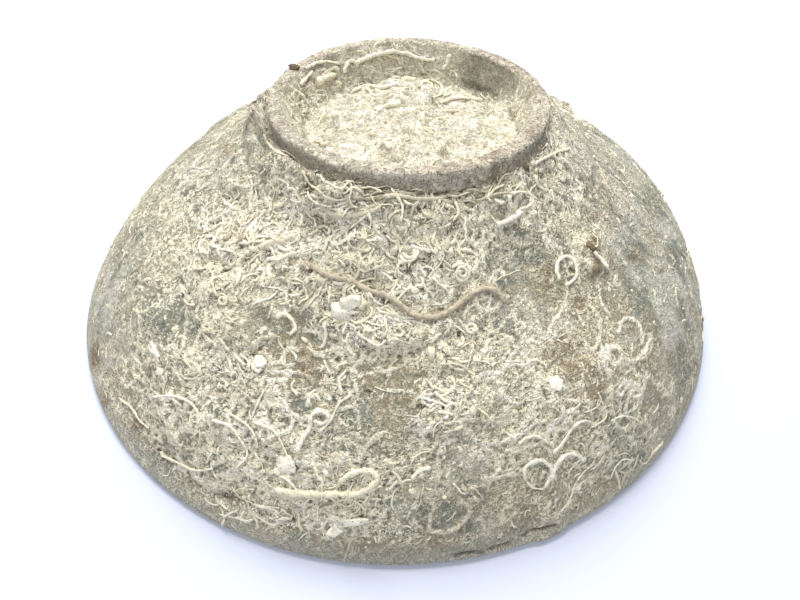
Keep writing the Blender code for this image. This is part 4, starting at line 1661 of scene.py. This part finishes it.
def press_wall(relief, garden):
    """The relief of the wall: crust and tubes in the mats, threads and grains all over."""
    x, y = to_pixels(garden.centres)
    wall = garden.wall() * on_sheet(garden.centres)
    mats = wall * growth(garden.centres, garden.normals) ** 1.3
    rough_skin = wall * (1.0 - 0.95 * spread(BARE, x, y))
    webs = rough_skin * spread(LOOPS, x, y)
    open_skin = rough_skin * (0.35 + spread(LOOPS, x, y))
    chances = {"mats": mats, "webs": webs, "open": open_skin, "open and mats": open_skin + 0.5 * mats}
    press_sown(relief, garden, WALL_RELIEF, chances)
    press_lines(relief, garden)
    press_holes(relief, garden, mats, MAT_HOLES)
    # Furrows: dents painted dark as shade
    for gap in FURROWS:
        places = [garden.look(x, y)[0] for x, y in curve_through(gap.points, PIXEL_STEP)]
        relief.pierce(places, gap.radius * MM, gap.depth * MM)


def well_corner(garden):
    """Where more grows in the well: thrice as much in its corner as in its middle."""
    return 1.0 + 2.0 * ease((garden.reach - 0.78 * FLOOR_RADIUS) / (0.2 * FLOOR_RADIUS))


def press_well(relief, garden):
    """The relief of the well."""
    x, y = to_pixels(garden.centres)
    well = garden.well() * (1.0 - spread(WELL_BARE, x, y, 0.2))
    for mound in WELL_MOUNDS:
        spot = garden.look(mound.x, mound.y)[0]
        relief.press([spot], [mound.radius * MM], -0.84 * mound.radius * MM, mound.tint)
    press_sown(relief, garden, WELL_RELIEF, {"well": well * well_corner(garden)})
    press_lines(relief, garden)
    press_holes(relief, garden, well, WELL_HOLES)


def mat_tubes(garden, heaps, candidates):
    """Short broken tubes, thick in the mats."""
    draw = garden.draw
    for place, _, thick in sown(garden, candidates):
        if draw.random() > thick**1.4:
            continue
        radius = draw.choice((0.15, 0.18, 0.22, 0.27, 0.33)) * MM
        length = draw.uniform(1.5, 6.0) * MM
        lift = radius * draw.uniform(-0.6, 0.3)
        lift += abs(draw.gauss(0, draw.choice((0.0, 0.05, 0.25)))) * thick * MM
        rise = draw.gauss(0, 0.15) * MM * thick
        curl = draw.gauss(0, 0.16)
        tube = garden.walk(place, radius, length, 7, curl, wander=0.32, lift=lift, rise=rise)
        tube = tube._replace(tint=any_tint(place, draw, 0.55, 1.0))
        heaps[sector(place)].add_tube(tube, sides=5)


def fine_tubes(garden, heap, short_count, long_count):
    """Thin tubes half sunk in the skin: short ones all over, and long ones in arcs and loops."""
    draw = garden.draw
    places, normals = garden.scatter(short_count, garden.wall())
    x, y = to_pixels(places)
    near = near_side(places, normals)
    shown = seen(places, normals)
    gaps = np.maximum(near * spread(BARE, x, y), 0.9 * near * (1.0 - shown))
    for place, gap in zip(places, gaps):
        if draw.random() < 0.97 * gap:
            continue
        radius = draw.uniform(0.12, 0.24) * MM
        length = draw.uniform(1.2, 4.5) * MM
        curl = draw.gauss(0, 0.3)
        lift = -radius * draw.uniform(0.1, 0.7)
        tube = garden.walk(Vector(place), radius, length, 5, curl, wander=0.25, lift=lift)
        heap.add_tube(tube, sides=4)
    shown = seen(garden.centres, garden.normals)
    chance = shown * spread(LOOPS, *to_pixels(garden.centres)) + (1.0 - shown) * 0.4
    places, _ = garden.scatter(long_count, garden.wall() * chance)
    for place in places:
        radius = draw.uniform(0.13, 0.27) * MM
        length = draw.uniform(6, 18) * MM
        curl = draw.choice((-1, 1)) * draw.uniform(0.05, 0.35)
        tube = garden.walk(Vector(place), radius, length, 16, curl, wander=0.18)
        heap.add_tube(tube, sides=5)


def any_lump(garden, heap, shape, place, normal, size, long, thick, tints):
    """A lump of about some size, lying any way round."""
    draw = garden.draw
    sizes = (size * draw.uniform(*long), size, size * draw.uniform(*thick))
    heading = normal.cross(any_direction(draw)).normalized()
    heap.add_lump(shape, place, normal, heading, sizes, draw.uniform(*tints))


def clumps(garden, heap, count):
    """Low lumps of lime that the mats' tubes are set in."""
    draw = garden.draw
    for place, normal, thick in sown(garden, count):
        if draw.random() <= thick**1.4:
            size = draw.uniform(0.35, 0.9) * MM
            any_lump(garden, heap, CLUMP, place, normal, size, (1.0, 2.0), (0.4, 0.8), (0.3, 0.8))


def skirt(garden, heap, count):
    """Tubes that run round under the front of the foot ring."""
    draw = garden.draw
    for _ in range(count):
        turn = math.radians(draw.gauss(258, 26))
        reach = FOOT_RADIUS + draw.uniform(-0.2, 2.6) * MM
        height = JUNCTION_HEIGHT - (reach - FOOT_RADIUS) * 0.75
        start = Vector(warp(reach, height, math.degrees(turn)))
        radius = draw.choice((0.12, 0.15, 0.19, 0.26)) * MM
        around = Vector((-math.sin(turn), math.cos(turn), 0.0)) * draw.choice((-1, 1))
        hits = []
        place = start
        for _ in range(9):
            hits.append(garden.tree.find_nearest(place)[:2])
            place = hits[-1][0] + around * 0.55 * MM
            around = (around + any_direction(draw) * 0.35).normalized()
        lift = draw.uniform(0.0, 1.3) * MM
        tube = garden.settle(hits, radius, lift, tint=draw.uniform(0.3, 0.9), taper=0.3)
        heap.add_tube(tube, sides=6)


def coarse_tubes(garden, heap, count):
    """Thick tubes on the sides that the picture doesn't show."""
    draw = garden.draw
    hidden = garden.wall() * (1.0 - seen(garden.centres, garden.normals, -0.75, 0.3))
    places, _ = garden.scatter(count, hidden)
    for place in places:
        radius = draw.uniform(0.20, 0.50) * MM
        curl = draw.choice((-1, 1)) * draw.uniform(0.0, 0.25)
        length = draw.uniform(5, 16) * MM
        tube = garden.walk(Vector(place), radius, length, 18, curl, wander=0.14, lift=radius * 0.3)
        if min(point.z for point in tube.places) > RIM_CLEAR:
            heap.add_tube(tube, sides=7)


def crumbs(garden, heap, count):
    """Small broken grains of lime, thickest in the mats."""
    draw = garden.draw
    for place, normal, thick in sown(garden, count):
        if draw.random() <= 0.06 + thick:
            size = draw.choice((0.18, 0.24, 0.32, 0.5)) * MM
            any_lump(garden, heap, CRUMB, place, normal, size, (0.9, 1.9), (0.4, 0.9), (0.35, 1.0))


def well_growth(garden, heap):
    """Lumps, thick and thin tubes and grains that fill the well."""
    draw = garden.draw
    upright = 1.0 + 1.5 * (garden.normals[:, 2] < 0.8)
    places, normals = garden.scatter(WELL_PIECES, garden.well() * well_corner(garden) * upright)
    bare = spread(WELL_BARE, *to_pixels(places), WELL_EDGE)
    for place, normal, gap in zip(places, normals, bare):
        if draw.random() < gap:
            continue
        normal = Vector(normal)
        place = Vector(place)
        kind = draw.random()
        heading = normal.cross(any_direction(draw)).normalized()
        if kind < 0.20:
            size = draw.uniform(0.2, 0.6) * MM
            sizes = (size * draw.uniform(0.9, 1.8), size, size * 0.4)
            heap.add_lump(CRUMB, place, normal, heading, sizes, draw.uniform(0.6, 1.0))
        elif kind < 0.93:
            radius = draw.choice((0.16, 0.2, 0.26, 0.32)) * MM
            length = draw.uniform(1.5, 6.0) * MM
            lift = radius * draw.uniform(-0.6, 0.1)
            curl = draw.gauss(0, 0.25)
            tube = garden.walk(place, radius, length, 5, curl, wander=0.3, lift=lift)
            heap.add_tube(tube._replace(tint=draw.uniform(0.6, 1.0)), sides=5)
        else:
            radius = draw.uniform(0.3, 0.6) * MM
            length = draw.uniform(3.0, 9.0) * MM
            curl = draw.choice((-1, 1)) * draw.uniform(0.0, 0.3)
            tube = garden.walk(place, radius, length, 12, curl, wander=0.25)
            heap.add_tube(tube._replace(tint=draw.uniform(0.45, 0.9)), sides=8)


def chosen_growth(garden, heap):
    """The single tubes, coils and lumps that the picture shows."""
    for line in LINES:
        heap.add_tube(garden.drawn(line), sides=10)
    for coil in COILS:
        heap.add_tube(garden.coil(coil), sides=8)
    for chip in CHIPS:
        spot, normal = garden.look(chip.x, chip.y)
        turn = math.radians(chip.turn)
        heading = RIGHT * math.cos(turn) - UP * math.sin(turn)
        heading = (heading - normal * heading.dot(normal)).normalized()
        sizes = (chip.long * MM, chip.wide * MM, chip.thick * MM)
        heap.add_lump(LUMP, spot, normal, heading, sizes, chip.tint)


Light = namedtuple("Light", "name place target size power tone")
LIGHTS = (
    Light("overhead", (-0.05, 0.50, 0.88), (0, 0, 0), 0.7, 17.5, (1.0, 0.99, 0.965)),
    Light("front_fill", (-0.15, -0.65, 0.80), (0, 0, 0.02), 0.5, 4.7, (0.97, 0.98, 1.0)),
)
WORLD_TONE = (0.97, 0.98, 1.0, 1.0)
WORLD_STRENGTH = 0.36
FLOOR_TONE = colour(192, 198, 214)


def make_floor():
    """A plain pale floor."""
    bpy.ops.mesh.primitive_plane_add(size=6)
    floor = bpy.context.object
    floor.name = "floor"
    material = bpy.data.materials.new("pale_floor")
    material.use_nodes = True
    shader = material.node_tree.nodes["Principled BSDF"]
    shader.inputs["Base Color"].default_value = FLOOR_TONE
    shader.inputs["Roughness"].default_value = 0.9
    floor.data.materials.append(material)


def add_light(light):
    """A square soft light."""
    data = bpy.data.lights.new(light.name, "AREA")
    data.size = light.size
    data.energy = light.power
    data.color = light.tone
    lamp = bpy.data.objects.new(light.name, data)
    lamp.location = light.place
    aim = Vector(light.target) - Vector(light.place)
    lamp.rotation_euler = aim.to_track_quat("-Z", "Y").to_euler()
    bpy.context.scene.collection.objects.link(lamp)


def make_light():
    """Plain soft studio light, mostly from above and behind."""
    for light in LIGHTS:
        add_light(light)
    world = bpy.data.worlds.new("studio")
    world.use_nodes = True
    background = world.node_tree.nodes["Background"]
    background.inputs["Color"].default_value = WORLD_TONE
    background.inputs["Strength"].default_value = WORLD_STRENGTH
    bpy.context.scene.world = world
    bpy.context.scene.view_settings.view_transform = "Standard"


def make_camera():
    """The camera at the picture's place and angle."""
    data = bpy.data.cameras.new("camera")
    data.sensor_width = SENSOR_WIDTH
    data.lens = SENSOR_WIDTH * FOCAL_PIXELS / PICTURE_WIDTH
    data.clip_start = 0.01
    camera = bpy.data.objects.new("camera", data)
    axes = Matrix((RIGHT, UP, -FORWARD)).transposed()
    camera.matrix_world = Matrix.Translation(CAMERA_PLACE) @ axes.to_4x4()
    bpy.context.scene.collection.objects.link(camera)
    bpy.context.scene.camera = camera


def main():
    """Sets the stage, dresses the bowl and grows the crust on it."""
    make_camera()
    make_light()
    make_floor()
    shell = shell_surface()
    sheet = sheet_surface()
    garden = Garden([shell], SHELL_SEED)
    well_rows = len(well_rings())
    well_relief = Relief(shell, well_rows)
    press_well(well_relief, garden)
    wall_relief = Relief(sheet, SHEET_ROWS + 1)
    press_wall(wall_relief, garden)
    shell.press(well_relief, well_rows)
    sheet.press(wall_relief, SHEET_ROWS + 1)
    skin = shell_material()
    dressed = shell.build("bowl_shell", skin)
    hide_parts("bowl")
    sheet.build("crust_sheet", skin)

    garden = Garden([shell, sheet], GROWTH_SEED)
    lime = lime_material("worm_tubes")
    quarters = [Heap() for _ in range(4)]
    mat_tubes(garden, quarters, MAT_TUBES)
    for heap, name in zip(quarters, ("front_mat", "right_mat", "back_mat", "left_mat")):
        heap.build(name, lime)
    fine = Heap()
    fine_tubes(garden, fine, SHORT_TUBES, LONG_TUBES)
    fine.build("fine_tubes", lime)
    loose = Heap()
    crumbs(garden, loose, LOOSE_CRUMBS)
    clumps(garden, loose, MAT_CLUMPS)
    loose.build("crumbs", lime)
    chosen = Heap()
    chosen_growth(garden, chosen)
    skirt(garden, chosen, SKIRT_TUBES)
    coarse_tubes(garden, chosen, COARSE_TUBES)
    well_growth(garden, chosen)
    chosen.build("large_growth", lime)


main()
